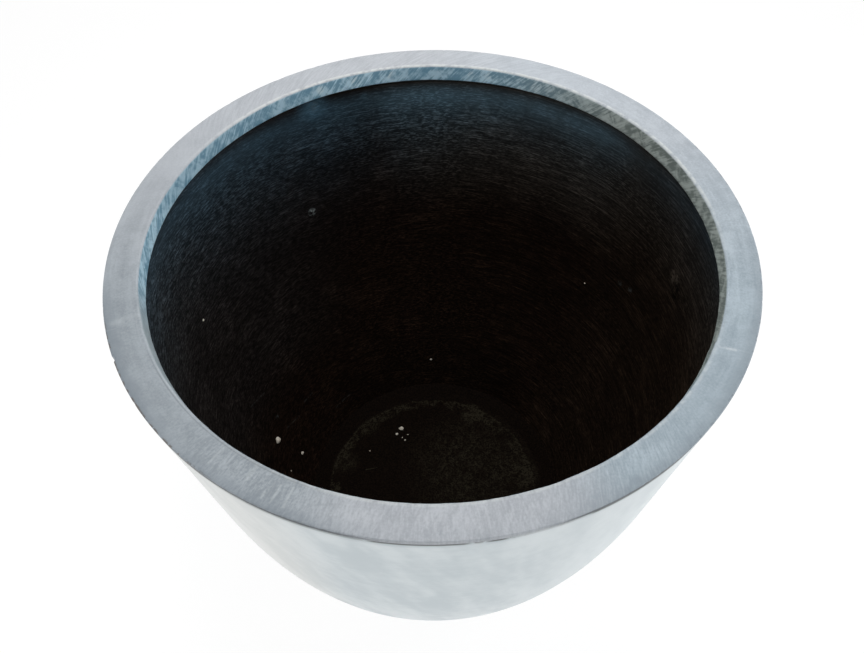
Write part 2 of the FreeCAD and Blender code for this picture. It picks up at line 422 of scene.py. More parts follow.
def coat_relief(place):
    """How far the coat's seen face stands in from its mean face."""
    if place.z < COAT_SHOULDER and radius_of(place) > wall_radius(place.z, COATED_WALL) + FACE_MARGIN:
        return 0.0
    ends = min(place.z - BEAD_TOP, COAT_SHOULDER - place.z)
    relief = STROKE_HEIGHT * brush_strokes(place)
    for spot, reach, rise in RUN_SPOTS:
        away = (place - spot).length
        if away < reach:
            relief += rise * fade(away, reach) * (0.8 + 0.5 * noise.noise(place / RUN_GRAIN))
    along = (place - MAT_EDGE_START).dot(MAT_EDGE_RUN) / MAT_EDGE_RUN.length_squared
    if 0.0 < along < 1.0:
        off_line = (place - MAT_EDGE_START - MAT_EDGE_RUN * along).length
        relief += MAT_EDGE_HEIGHT * fade(off_line, MAT_EDGE_REACH) * math.sin(math.pi * along)
    return relief * (1.0 - fade(ends, COAT_END_FADE))


print("the coat has", len(RUN_SPOTS), "runs, and a mat edge", round(MAT_EDGE_RUN.length, 3), "m long")

# %% Turn the wall coat
coat_corners = [
    (wall_radius(BEAD_TOP, COATED_WALL), BEAD_TOP, COAT_BELLY_ROWS),
    taper_end(COATED_WALL),
    (wall_radius(COAT_SHOULDER, COATED_WALL), COAT_SHOULDER),
    (HEEL_RADIUS - COAT_SHIFT, LIP_FOOT),
    (HEEL_RADIUS, LIP_FOOT),
    (wall_radius(CORE_FOOT, WALL_THICKNESS), CORE_FOOT),
    (*taper_end(WALL_THICKNESS), COAT_BACK_ROWS),
    (wall_radius(BEAD_TOP, WALL_THICKNESS), BEAD_TOP),
]


def on_seen_face(middle):
    """Whether the middle of a side lies on the coat's seen face."""
    return middle.z < COAT_SHOULDER and middle.x < wall_radius(middle.z, COATED_WALL) + FACE_MARGIN


wall_coat = draw_outline("brushed_wall_coat", coat_corners)
divide_sides(wall_coat, COAT_ROW, on_seen_face)
turn_outline(wall_coat, COAT_STEPS)
carve(wall_coat, coat_relief)
finish_piece(wall_coat)

# %% [markdown]
# ## The floor: a bead of paste and a thin coat
# The floor plate is bonded in by a bead of resin paste, pressed into the corner with a thumb. It was coated
# over above, and its lumpy toe was squeezed out over the edge of the floor. Inside it lies a thin dark
# coat with years of dust. Both are turned, then carved: the toe by lumps of a millimetre or two, which
# dip under the floor in places and so leave a ragged edge, and the coat by slow ripples.

# %% Turn the bead
FLOOR_STEPS = 300
FLOOR_SIDE = 2.5 * MM
TOE_WIDTH = 17 * MM
TOE_SINK = 0.4 * MM
TOE_LUMP = 3.0 * MM
BEAD_LUMP = 1.0 * MM
BEAD_BACK_ROWS = 3
LUMP_SIZE = 17 * MM
SMALL_LUMP_SIZE = 7 * MM
DEEPEST_LUMP = -0.25
BEAD_MARGIN = 0.2 * MM
BEAD_CREASE = 60.0

bead_top_radius = wall_radius(BEAD_TOP, COATED_WALL)
TOE_RADIUS = FLOOR_RADIUS - TOE_WIDTH
bead_corners = [
    (TOE_RADIUS, FLOOR_TOP - TOE_SINK),
    (FLOOR_RADIUS, FLOOR_TOP + TOE_SINK),
    (bead_top_radius, BEAD_TOP),
    (wall_radius(BEAD_TOP, WALL_THICKNESS), BEAD_TOP, BEAD_BACK_ROWS),
    (wall_radius(PLATE_TOP, WALL_THICKNESS), PLATE_TOP),
    (FLOOR_RADIUS, PLATE_TOP),
    (FLOOR_RADIUS, FLOOR_TOP - TOE_SINK),
]


def on_bead_face(place):
    """Whether a place lies on the bead's seen face, which rises from the toe to the wall."""
    radius = radius_of(place)
    if radius < FLOOR_RADIUS:
        return place.z > FLOOR_TOP - 0.9 * TOE_SINK
    return place.z > FLOOR_TOP and radius < bead_top_radius - BEAD_MARGIN


def bead_lumps(place):
    """How far the bead's seen face swells upwards."""
    if not on_bead_face(place):
        return 0.0
    lumps = noise.noise(place / LUMP_SIZE) + 0.7 * noise.noise(place / SMALL_LUMP_SIZE)
    if radius_of(place) > FLOOR_RADIUS:
        share = (bead_top_radius - radius_of(place)) / (bead_top_radius - FLOOR_RADIUS)
        return BEAD_LUMP * lumps * share
    share = (radius_of(place) - TOE_RADIUS) / TOE_WIDTH
    return TOE_LUMP * max(lumps, DEEPEST_LUMP) * math.sin(math.pi * min(max(share, 0.0), 1.0))


floor_bead = draw_outline("floor_bead_paste", bead_corners)
divide_sides(floor_bead, FLOOR_SIDE)
turn_outline(floor_bead, FLOOR_STEPS)
carve(floor_bead, lambda place: 0.0, down=lambda place: -bead_lumps(place))
finish_piece(floor_bead, crease=BEAD_CREASE)

# %% Turn the floor coat
FLOOR_DIP = 0.35 * MM
RIPPLE_SIZE = 30 * MM
SMALL_RIPPLE_SIZE = 9 * MM
FLOOR_MARGIN = 0.1 * MM


def floor_ripple(place):
    """How far the floor's coat dips."""
    if place.z < FLOOR_TOP - FLOOR_MARGIN:
        return 0.0
    ripple = 0.5 + 0.5 * noise.noise(place / RIPPLE_SIZE) + 0.3 * noise.noise(place / SMALL_RIPPLE_SIZE)
    return FLOOR_DIP * ripple * (1.0 - (radius_of(place) / FLOOR_RADIUS) ** 4)


floor_corners = [(0.0, FLOOR_TOP), (FLOOR_RADIUS, FLOOR_TOP), (FLOOR_RADIUS, PLATE_TOP), (0.0, PLATE_TOP)]
floor_coat = draw_outline("floor_coat", floor_corners)
divide_sides(floor_coat, FLOOR_SIDE, lambda middle: middle.z > PLATE_TOP)
turn_outline(floor_coat, FLOOR_STEPS)
carve(floor_coat, lambda place: 0.0, down=floor_ripple)
finish_piece(floor_coat)

# %% [markdown]
# ## The rim
# The rim is an angle in section: a flat cap on top, and a lip turned down inside. It came in three
# lengths, butted at joints and filled, and then sanded as one, so the inner edge is eased to a soft
# round, the outer edge is sharper and nicked, and beside the right joint one length stands in a little
# further than the next. Each length is the same outline, turned over its own angle.

# %% Outline of the rim
RIGHT_JOINT = -27.3
BACK_JOINT = 88.0
LEFT_JOINT = 200.2
JOINT_ANGLE = 0.25
INNER_EASE = 2.2 * MM
ARRIS_EASE = 1.0 * MM
LIP_EASE = 1.0 * MM
RIM_SIDE = 2.4 * MM
RIM_STEP_ANGLE = 0.35

RIM_CORNERS = [
    (INNER_EDGE, POT_HEIGHT),
    (RIM_RADIUS, POT_HEIGHT),
    (wall_radius(CAP_UNDERSIDE), CAP_UNDERSIDE),
    (lip_radius(CAP_UNDERSIDE, LIP_THICKNESS), CAP_UNDERSIDE),
    (HEEL_RADIUS, LIP_FOOT),
    (lip_radius(LIP_FOOT), LIP_FOOT),
]


def turn_rim(name, first_azimuth, sweep, steps):
    """Turn the rim's outline over an angle, with its edges eased."""
    piece = draw_outline(name, RIM_CORNERS)
    ease_corner(piece, RIM_CORNERS[0], INNER_EASE, segments=5)
    ease_corner(piece, RIM_CORNERS[1], ARRIS_EASE, segments=3)
    ease_corner(piece, RIM_CORNERS[5], LIP_EASE, segments=3)
    divide_sides(piece, RIM_SIDE)
    turn_outline(piece, steps, first_azimuth, sweep)
    return piece


print("rim section", [(round(radius, 4), round(height, 4)) for radius, height in RIM_CORNERS])

# %% Wear of the rim
NOTCH_AZIMUTH = -153.7
NOTCH_DEPTH = 2.2 * MM
NOTCH_REACH = 0.7
NICK_DEPTH = 1.1 * MM
NICK_SPACING = 7 * MM
NICK_THRESHOLD = 0.32
NICK_WIDTH = 4 * MM
NICK_DROP = 6 * MM
EDGE_WOBBLE = 0.35 * MM
LONG_WOBBLE = 28 * MM
SHORT_WOBBLE = 9 * MM
WOBBLE_REACH = 12 * MM
JOINT_STEP = 0.5 * MM
JOINT_STEP_REACH = 7.0
SANDING_DIP = 0.12 * MM
DIP_SIZE = 35 * MM
DIP_DROP = 2 * MM


def rim_spot(azimuth, radius):
    """Place on the rim's top at an azimuth and a radius."""
    return direction(azimuth) * radius + Vector((0.0, 0.0, POT_HEIGHT))


def rim_wear(place):
    """How far a place on the rim is worn towards the axis: nicks outside, a wavering edge inside."""
    radius = radius_of(place)
    azimuth = azimuth_of(place)
    below_top = POT_HEIGHT - place.z
    nick = max(around(place, NICK_SPACING, seed=3.0) - NICK_THRESHOLD, 0.0) * NICK_DEPTH
    nick += NOTCH_DEPTH * fade(off_by(azimuth, NOTCH_AZIMUTH), NOTCH_REACH)
    outer = fade(RIM_RADIUS - radius, NICK_WIDTH) * fade(below_top, NICK_DROP)
    wobble = around(place, LONG_WOBBLE, seed=11.0) + 0.5 * around(place, SHORT_WOBBLE, seed=17.0)
    step = JOINT_STEP * fade(off_by(azimuth, RIGHT_JOINT), JOINT_STEP_REACH) * (azimuth < RIGHT_JOINT)
    inner = fade(radius - INNER_EDGE, WOBBLE_REACH)
    return nick * outer + (EDGE_WOBBLE * wobble + step) * inner


def rim_dip(place):
    """How far sanding has dished the top of the rim."""
    on_top = fade(POT_HEIGHT - place.z, DIP_DROP)
    return SANDING_DIP * on_top * (0.5 + 0.5 * noise.noise(place / DIP_SIZE))


print("wear at the notch", round(rim_wear(rim_spot(NOTCH_AZIMUTH, RIM_RADIUS)) / MM, 2), "mm")

# %% Turn the three lengths and their joints
JOINT_STEPS = 3
RIM_SEGMENTS = {
    "front_rim_segment": (LEFT_JOINT - FULL_TURN, RIGHT_JOINT),
    "right_rim_segment": (RIGHT_JOINT, BACK_JOINT),
    "left_rim_segment": (BACK_JOINT, LEFT_JOINT),
}
RIM_JOINTS = {
    "right_rim_joint": RIGHT_JOINT,
    "back_rim_joint": BACK_JOINT,
    "left_rim_joint": LEFT_JOINT,
}
for node, (first_joint, last_joint) in RIM_SEGMENTS.items():
    sweep = last_joint - first_joint - JOINT_ANGLE
    length_steps = round(sweep / RIM_STEP_ANGLE)
    segment = turn_rim(f"sanded_{node}", first_joint + JOINT_ANGLE / 2, sweep, length_steps)
    carve(segment, rim_wear, down=rim_dip)
    finish_piece(segment)
for node, joint in RIM_JOINTS.items():
    filler = turn_rim(f"filled_{node}", joint - JOINT_ANGLE / 2, JOINT_ANGLE, JOINT_STEPS)
    carve(filler, rim_wear, down=rim_dip)
    finish_piece(filler)

# %% [markdown]
# ## The bond line
# Between the rim and the wall runs a bed of dark adhesive, one millimetre thick. From outside it shows as
# a thin dark line, deep in some places and smeared flush in others, as the groove in the wall is. It is a
# flat ring whose outer edge is carved in and out with that groove.

# %% Turn the bond line
BOND_STEPS = 720
BOND_FACE = 5 * MM

bond_corners = [
    (wall_radius(SHELL_TOP), SHELL_TOP),
    (wall_radius(CAP_UNDERSIDE), CAP_UNDERSIDE),
    (lip_radius(CAP_UNDERSIDE, LIP_THICKNESS), CAP_UNDERSIDE),
    (lip_radius(SHELL_TOP, LIP_THICKNESS), SHELL_TOP),
]


def bond_recess(place):
    """How far the adhesive lies back from the face of the wall."""
    return groove_depth(place) if radius_of(place) > RIM_RADIUS - BOND_FACE else 0.0


bond_line = draw_outline("adhesive_bond_line", bond_corners)
turn_outline(bond_line, BOND_STEPS)
carve(bond_line, bond_recess)
finish_piece(bond_line)

# %% [markdown]
# ## Crumbs of filler
# When the joints of the rim were filled and sanded, some crumbs fell in and stuck in the wet coat, on the
# floor and on the wall. Each is a small ball, cut by a few planes so that it has the facets of a broken
# crumb. A hull closes it where two cuts left a sliver. Then it is flattened, and turned to lie on what it
# stuck to.

# %% Shape of a crumb
CRUMB_CUTS = 7
CUT_SHARE = 0.36
CUT_EXACTNESS = 0.001
CRUMB_SHAPE = (1.0, 0.8, 0.65)
CRUMB_LIFT = 0.12
SLIVER_SHARE = 0.02
CRUMB_CREASE = 25.0


def break_crumb(name, spot, upright, width, seed):
    """Model one crumb of filler at a spot, lying on a surface whose upright is a direction."""
    bpy.ops.object.select_all(action="DESELECT")
    bpy.ops.mesh.primitive_ico_sphere_add(subdivisions=3, radius=width / 2)
    crumb = bpy.context.object
    crumb.name = name
    crumb.data.name = name
    bpy.ops.object.mode_set(mode="EDIT")
    for cut in range(CRUMB_CUTS):
        side = (noise.cell_vector((seed, cut, 0.5)) - Vector((0.5, 0.5, 0.5))).normalized()
        bpy.ops.mesh.select_all(action="SELECT")
        bpy.ops.mesh.bisect(plane_co=side * width * CUT_SHARE, plane_no=side, use_fill=True, clear_outer=True,
                            threshold=width * CUT_EXACTNESS)
    bpy.ops.mesh.select_all(action="SELECT")
    bpy.ops.mesh.remove_doubles(threshold=width * SLIVER_SHARE)
    bpy.ops.mesh.convex_hull(use_existing_faces=False)
    bpy.ops.mesh.normals_make_consistent(inside=False)
    bpy.ops.transform.resize(value=CRUMB_SHAPE, center_override=(0, 0, 0))
    bpy.ops.object.mode_set(mode="OBJECT")
    turned = upright.to_track_quat("Z", "Y").to_matrix().to_4x4()
    crumb.data.transform(Matrix.Translation(spot + upright * width * CRUMB_LIFT) @ turned)
    finish_piece(crumb, crease=CRUMB_CREASE)
    return crumb


print("each crumb is cut by", CRUMB_CUTS, "planes")

# %% Break the crumbs
FLOOR_CRUMBS = [(-48 * MM, 94 * MM, 7.5 * MM), (-54 * MM, 85 * MM, 4.5 * MM), (-42 * MM, 75 * MM, 3 * MM),
                (-92 * MM, 58 * MM, 2 * MM), (-38 * MM, 84 * MM, 2 * MM), (-46 * MM, 79 * MM, 1.6 * MM)]
WALL_CRUMBS = [(173.7, 102 * MM, 10 * MM), (170.3, 53 * MM, 5.5 * MM), (181.2, 67 * MM, 2.6 * MM),
               (168.3, 317 * MM, 3.5 * MM), (39.9, 245 * MM, 2.4 * MM), (91.1, 55 * MM, 3.5 * MM)]
FIRST_WALL_SEED = 20

crumbs = []
for number, (x, y, width) in enumerate(FLOOR_CRUMBS):
    spot = Vector((x, y, FLOOR_TOP))
    crumbs.append(break_crumb(f"floor_crumb_{number + 1}", spot, Vector((0, 0, 1)), width, number))
for number, (azimuth, height, width) in enumerate(WALL_CRUMBS):
    slope = (wall_radius(height + MM, COATED_WALL) - wall_radius(height - MM, COATED_WALL)) / (2 * MM)
    upright = (Vector((0, 0, slope)) - direction(azimuth)).normalized()
    spot = coat_spot(azimuth, height)
    crumbs.append(break_crumb(f"wall_crumb_{number + 1}", spot, upright, width, number + FIRST_WALL_SEED))

# %% [markdown]
# ## Small tools for materials
# A material is a tree of nodes. Written out, each node takes three or four lines, so a few small tools
# shorten them. A Value is what a node gives. Plus, minus and times between Values each place a Math node,
# so a mask reads like a sum. A group is a tree of its own with named sockets, which several materials
# then share.

# %% Values
class Value:
    """What a node gives: a value, a mask, a vector, a colour or a shader, for other nodes to take."""

    def __init__(self, tree, socket):
        self.tree = tree
        self.socket = socket

    def math(self, operation, other=0.0):
        """This value with another, from a Math node."""
        return give(self.tree, "ShaderNodeMath", {0: self, 1: other}, operation=operation)

    def __add__(self, other):
        return self.math("ADD", other)

    def __sub__(self, other):
        return self.math("SUBTRACT", other)

    def __mul__(self, other):
        return self.math("MULTIPLY", other)

    def __truediv__(self, other):
        return self.math("DIVIDE", other)

    def most(self, other):
        """The larger of this value and another."""
        return self.math("MAXIMUM", other)

    def ramp(self, low, high, start=0.0, end=1.0):
        """A value that goes smoothly from start to end as this one goes from low to high."""
        feeds = {0: self, 1: low, 2: high, 3: start, 4: end}
        return give(self.tree, "ShaderNodeMapRange", feeds, interpolation_type="SMOOTHSTEP")

    def close_to(self, middle, reach, core=0.0):
        """A mask that is 1 where this value is at a middle, and 0 beyond a reach from it."""
        return (self - middle).math("ABSOLUTE").ramp(reach, core)

    def mix(self, first, second):
        """The first value where this mask is 0, and the second where it is 1."""
        return give(self.tree, "ShaderNodeMix", {0: self, 2: first, 3: second})

    def tint(self, first, second):
        """The first colour where this mask is 0, and the second where it is 1."""
        feeds = {0: self, 6: as_colour(first), 7: as_colour(second)}
        return give(self.tree, "ShaderNodeMix", feeds, out=2, data_type="RGBA")


print("a Value has", [name for name in vars(Value) if not name.startswith("_")])

# %% Nodes
def as_colour(colour):
    """A colour as a socket takes it, with a fourth part if it is plain numbers."""
    return colour if isinstance(colour, Value) else (*colour, 1.0)


def feed(node, feeds):
    """Feed a node's inputs with what other nodes give, or with plain values."""
    for key, value in feeds.items():
        if isinstance(value, Value):
            node.id_data.links.new(value.socket, node.inputs[key])
        else:
            node.inputs[key].default_value = value


def put(tree, kind, feeds, **settings):
    """Add a node to a tree, with its settings and with its inputs fed."""
    node = tree.nodes.new(kind)
    for name, value in settings.items():
        setattr(node, name, value)
    feed(node, feeds)
    return node


def give(tree, kind, feeds, out=0, **settings):
    """Add a node to a tree, and give one of its outputs."""
    return Value(tree, put(tree, kind, feeds, **settings).outputs[out])


def vector_sum(tree, operation, first, second=(0.0, 0.0, 0.0), scale=1.0):
    """A sum of vectors, from a Vector Math node; a length, distance or dot product is a value."""
    out = 1 if operation in ("LENGTH", "DISTANCE", "DOT_PRODUCT") else 0
    feeds = {0: first, 1: second, 3: scale}
    return give(tree, "ShaderNodeVectorMath", feeds, out=out, operation=operation)


# %% Groups of nodes
def outputs_of(node):
    """What a node gives, by name."""
    return {socket.name: Value(node.id_data, socket) for socket in node.outputs}


def new_group(name, takes, gives):
    """An empty node group with named inputs and outputs: what it takes, and its end."""
    group = bpy.data.node_groups.new(name, "ShaderNodeTree")
    for socket, kind in takes.items():
        group.interface.new_socket(socket, in_out="INPUT", socket_type=f"NodeSocket{kind}")
    for socket, kind in gives.items():
        group.interface.new_socket(socket, in_out="OUTPUT", socket_type=f"NodeSocket{kind}")
    return group, outputs_of(put(group, "NodeGroupInput", {})), put(group, "NodeGroupOutput", {})


def use(tree, group, **feeds):
    """Place a node group in a tree, with its inputs fed by name; gives its outputs by name."""
    return outputs_of(put(tree, "ShaderNodeGroup", feeds, node_tree=group))


# %% [markdown]
# ## Shared effects
# Three effects come back on nearly every surface of the pot. The place group gives radius, height and
# the direction outwards, since everything here runs round one axis. Hand strokes are noise drawn out along
# one way and squeezed along the other: sanding, brushing and clouded pigment are all such strokes
# at different scales. Their second output keeps only thin lines, where the noise crosses its middle, as
# bristles leave them. Cloudy tone is plain soft noise of a size, for stains, dust and patches.

# %% Groups for place, strokes and tone
STROKE_REACH = 285 * MM
STREAK_DETAIL = {"Scale": 1.0, "Detail": 2.5, "Roughness": 0.6}
LINE_DETAIL = {"Scale": 1.0, "Detail": 1.0, "Roughness": 0.4}
CLOUD_DETAIL = {"Detail": 4.0, "Roughness": 0.58}


def build_pot_place():
    """Group: where a point lies on the pot, as radius, height and direction."""
    group, takes, end = new_group(
        "pot place", {"Place": "Vector"},
        {"Radius": "Float", "Height": "Float", "Outward": "Vector"})
    parts = outputs_of(put(group, "ShaderNodeSeparateXYZ", {0: takes["Place"]}))
    level = give(group, "ShaderNodeCombineXYZ", {0: parts["X"], 1: parts["Y"]})
    feed(end, {"Radius": vector_sum(group, "LENGTH", level), "Height": parts["Z"],
               "Outward": vector_sum(group, "NORMALIZE", level)})
    return group


POT_PLACE = build_pot_place()


def build_hand_strokes():
    """Group: streaks of a width round the pot and of a length along a run, at a lean."""
    sizes = {"Run": "Float", "Round": "Float", "Along": "Float", "Lean": "Float"}
    group, takes, end = new_group(
        "hand strokes", {"Place": "Vector", **sizes}, {"Strokes": "Float", "Lines": "Float"})
    outward = use(group, POT_PLACE, Place=takes["Place"])["Outward"]
    drift = takes["Run"] * takes["Lean"] / STROKE_REACH
    feeds = {"Vector": outward, "Angle": drift}
    turned = give(group, "ShaderNodeVectorRotate", feeds, rotation_type="Z_AXIS")
    stretch = give(group, "ShaderNodeMath", {0: STROKE_REACH, 1: takes["Round"]}, operation="DIVIDE")
    run = give(group, "ShaderNodeCombineXYZ", {2: takes["Run"] / takes["Along"]})
    spot = vector_sum(group, "ADD", vector_sum(group, "SCALE", turned, scale=stretch), run)
    streaks = give(group, "ShaderNodeTexNoise", {"Vector": spot, **STREAK_DETAIL})
    plain = give(group, "ShaderNodeTexNoise", {"Vector": spot, **LINE_DETAIL})
    feed(end, {"Strokes": streaks, "Lines": plain.close_to(0.5, 0.13, 0.02)})
    return group


def build_cloudy_tone():
    """Group: soft uneven tone of a size."""
    group, takes, end = new_group("cloudy tone", {"Place": "Vector", "Size": "Float"}, {"Tone": "Float"})
    scale = give(group, "ShaderNodeMath", {0: 1.0, 1: takes["Size"]}, operation="DIVIDE")
    feeds = {"Vector": takes["Place"], "Scale": scale, **CLOUD_DETAIL}
    feed(end, {"Tone": give(group, "ShaderNodeTexNoise", feeds)})
    return group


HAND_STROKES = build_hand_strokes()
CLOUDY_TONE = build_cloudy_tone()
print("groups", sorted(group.name for group in bpy.data.node_groups))

# %% [markdown]
# ## Marks on a surface
# Every finish below is made of a few kinds of marks, laid where the pot shows them: strokes, clouds, zones
# that face one way, spots and lines. A Surface holds the place of a point, and gives each mark as a mask.

# %% Surface of the pot
SPOT_CORE = 0.4
LINE_CORE = 0.2


def cloud(place, size):
    """Soft uneven tone of a size."""
    return use(place.tree, CLOUDY_TONE, Place=place, Size=size)["Tone"]


class Surface:
    """Where a point lies on the pot, and the marks that lie there."""

    def __init__(self, place):
        self.place = place
        self.tree = place.tree
        where = use(self.tree, POT_PLACE, Place=place)
        self.radius = where["Radius"]
        self.height = where["Height"]
        self.outward = where["Outward"]

    def stroke_marks(self, run, wide, long, lean):
        """Both outputs of the hand strokes."""
        return use(self.tree, HAND_STROKES, Place=self.place, Run=run, Round=wide, Along=long, Lean=lean)

    def strokes(self, run, wide, long, lean=0.0):
        """Soft streaks of a width round the pot and of a length along a run, at a lean."""
        return self.stroke_marks(run, wide, long, lean)["Strokes"]

    def lines(self, run, wide, long, lean=0.0):
        """Thin lines, laid as the streaks are."""
        return self.stroke_marks(run, wide, long, lean)["Lines"]

    def facing(self, azimuth, narrow, wide):
        """A mask that is 1 within a narrow angle of an azimuth and 0 beyond a wide one, in degrees."""
        likeness = vector_sum(self.tree, "DOT_PRODUCT", self.outward, direction(azimuth))
        return likeness.ramp(math.cos(math.radians(wide)), math.cos(math.radians(narrow)))

    def zones(self, *shares):
        """A sum of such masks, each an azimuth, a narrow and a wide angle, and a weight."""
        masks = [self.facing(azimuth, narrow, wide) * weight for azimuth, narrow, wide, weight in shares]
        total = masks[0]
        for mask in masks[1:]:
            total = total + mask
        return total

    def near(self, spot, reach, core=SPOT_CORE):
        """A mask that is 1 at a spot, up to a share of a reach, and 0 beyond the reach."""
        return vector_sum(self.tree, "DISTANCE", self.place, spot).ramp(reach, core * reach)

    def by_line(self, first, last, reach):
        """A mask that is 1 on the line between two spots and 0 beyond a reach from it."""
        run = Vector(last) - Vector(first)
        from_first = vector_sum(self.tree, "SUBTRACT", self.place, first)
        share = vector_sum(self.tree, "DOT_PRODUCT", from_first, run / run.length_squared)
        foot = vector_sum(self.tree, "SCALE", run, scale=give(self.tree, "ShaderNodeClamp", {0: share}))
        return vector_sum(self.tree, "DISTANCE", from_first, foot).ramp(reach, LINE_CORE * reach)


print("a Surface gives", [name for name in vars(Surface) if not name.startswith("_")])

# %% Start and end of a material
def new_material(name):
    """A material with nodes, and the place of a point on the piece."""
    material = bpy.data.materials.new(name)
    material.use_nodes = True
    return material, give(material.node_tree, "ShaderNodeTexCoord", {}, out="Object")


def finish_material(material, colour, roughness, relief, depth, others=None):
    """Feed the shader with a colour, a roughness, a relief from 0 to 1 of a depth in metres, and others."""
    bump = give(material.node_tree, "ShaderNodeBump", {"Height": relief, "Strength": 1.0, "Distance": depth})
    feeds = {"Base Color": colour, "Roughness": roughness, "Normal": bump, **(others or {})}
    feed(material.node_tree.nodes["Principled BSDF"], feeds)
    print(material.name, "has", len(material.node_tree.nodes), "nodes")
    return material


# %% [markdown]
# ## Lead-grey wall
# The outside is laminate with grey pigment in it, sealed and rubbed to a satin finish. From near it is softly
# clouded, with faint slanting bands from the rubbing pad. The groove under the rim is darkened by dirt and by
# painted shade, darkest where the groove is deep, and the wall is darker just under the rim.
# The seal is a thin coat over the colour, which pales the outline as the eye meets it edge on.

# %% Wall finish
WALL_DARK, WALL_LIGHT = (0.475, 0.55, 0.585), (0.60, 0.672, 0.70)
WARM_DARK, WARM_LIGHT = (0.65, 0.672, 0.657), (0.73, 0.745, 0.728)
TOP_DARK_COLOUR = (0.30, 0.32, 0.32)
TOP_DARK_DROP = 10 * MM
GROOVE_DIRT_AND_SHADE = (0.07, 0.08, 0.08)
CALM_TONE = 0.56
WALL_RELIEF = 0.04 * MM
WALL_SEAL = {"Coat Weight": 0.5, "Coat Roughness": 0.3}


def build_wall_finish():
    """Material of the shell: satin grey, clouded, darker just under the rim, with dirt and painted shade in
    the groove there.
    """
    material, place = new_material("lead_grey_wall")
    pot = Surface(place)
    clouds = pot.strokes(pot.height, 45 * MM, 130 * MM, lean=0.15)
    rubbing = pot.strokes(pot.height, 20 * MM, 90 * MM, lean=0.5)
    bands = pot.strokes(pot.height, 60 * MM, 6 * MM, lean=0.05)
    mottle = cloud(place, 12 * MM)
    dull = pot.facing(-99.0, 14.0, 34.0)
    low_down = pot.height.ramp(350 * MM, 230 * MM)
    tone = clouds * 0.54 + rubbing * 0.22 + bands * 0.08 + mottle * 0.16 - dull * 0.025 + low_down * 0.02
    calm = pot.facing(-48.0, 12.0, 30.0) * 0.5
    tone = calm.mix(tone, CALM_TONE)
    warm = pot.facing(-134.0, 8.0, 28.0) * 0.9
    dark = warm.tint(WALL_DARK, WARM_DARK)
    light = warm.tint(WALL_LIGHT, WARM_LIGHT)
    colour = tone.ramp(0.4, 0.6).tint(dark, light)
    # The top 10 mm of the wall, just under the rim, is darker in mottled patches.
    top_darkening = pot.height.ramp(SHELL_TOP - TOP_DARK_DROP, SHELL_TOP) * mottle.ramp(0.4, 0.7) * 0.25
    colour = top_darkening.tint(colour, TOP_DARK_COLOUR)
    # The groove under the rim is darkened by dirt in patches, and by painted shade that is as dark as the
    # groove is deep.
    groove_dirt_and_shade = mottle.ramp(0.45, 0.65) * 0.5
    for first, last, depth in GROOVE_STRETCHES:
        half = (last - first) / 2
        stretch = pot.facing(first + half, max(half - GROOVE_FADE, 0.1), half + GROOVE_FADE)
        groove_dirt_and_shade = groove_dirt_and_shade.most(stretch * (depth / DEEP_GROOVE))
    groove_dirt_and_shade = groove_dirt_and_shade * pot.height.ramp(SHELL_TOP - 1.5 * GROOVE_HEIGHT, SHELL_TOP - 0.6 * GROOVE_HEIGHT)
    colour = groove_dirt_and_shade.tint(colour, GROOVE_DIRT_AND_SHADE)
    return finish_material(material, colour, tone.ramp(0.3, 0.7, 0.5, 0.36), bands, WALL_RELIEF, WALL_SEAL)


wall_finish = build_wall_finish()

# %% [markdown]
# ## Sanded rim
# The rim was sanded, across it in front and along it at the sides, so its streaks differ round the pot. In
# front it is rubbed paler, and at the back a painted sheen makes it paler. The lip was scrubbed slantwise, in
# places the other way, which left streaks and pale patches. It is lighter and bluish at the back and the
# left, and a darker greenish grey at the right: partly paint that drifted on it, partly painted light from
# the right. The joints show only as pale smears of filler. Cap, lip and filler share this colour, so it is a
# group, and the filler in the joints runs through without a line.

# %% Colour of the rim's top
CAP_DARK, CAP_LIGHT = (0.248, 0.283, 0.313), (0.40, 0.444, 0.482)
BLUISH_DARK, BLUISH_LIGHT = (0.272, 0.336, 0.385), (0.435, 0.515, 0.573)
RUBBED_AND_SHEEN_DARK, RUBBED_AND_SHEEN_LIGHT = (0.375, 0.396, 0.432), (0.493, 0.519, 0.556)
COOL_DARK, COOL_LIGHT = (0.395, 0.433, 0.478), (0.518, 0.562, 0.61)
SCRATCHED_CAP = (0.58, 0.62, 0.64)
SHADED_CAP = (0.19, 0.225, 0.26)
CAP_TONE = 0.505
STRIPE_RADIUS = 286 * MM
SCRATCHES = [(-120.0, 272 * MM, 285 * MM, 2.4 * MM), (-114.7, 278 * MM, 294 * MM, 1.2 * MM),
             (-112.6, 276 * MM, 293 * MM, 1.4 * MM), (-126.7, 274 * MM, 290 * MM, 1.3 * MM),
             (-116.3, 288 * MM, 293 * MM, 1.4 * MM)]


def build_cap_sanding(pot):
    """Streaks of the sanding on the rim's top: across it, slanting at the back, along it at the sides."""
    straight = pot.strokes(pot.radius, 2 * MM, 10 * MM)
    leaning = pot.strokes(pot.radius, 2 * MM, 10 * MM, lean=0.45)
    slanting = pot.strokes(pot.radius, 3 * MM, 12 * MM, lean=1.3)
    along = pot.strokes(pot.radius, 30 * MM, 2.2 * MM)
    rings = pot.strokes(pot.radius, 140 * MM, 9 * MM)
    across = pot.facing(-45.0, 15.0, 35.0).ramp(0.0, 1.0, 0.35, 0.9).mix(straight, leaning)
    lengthways = along * 0.25 + rings * 0.3 + cloud(pot.place, 14 * MM) * 0.45
    beyond_front = pot.facing(105.0, 25.0, 60.0).mix(lengthways, slanting)
    return pot.facing(-90.0, 33.0, 56.0).mix(beyond_front, across)


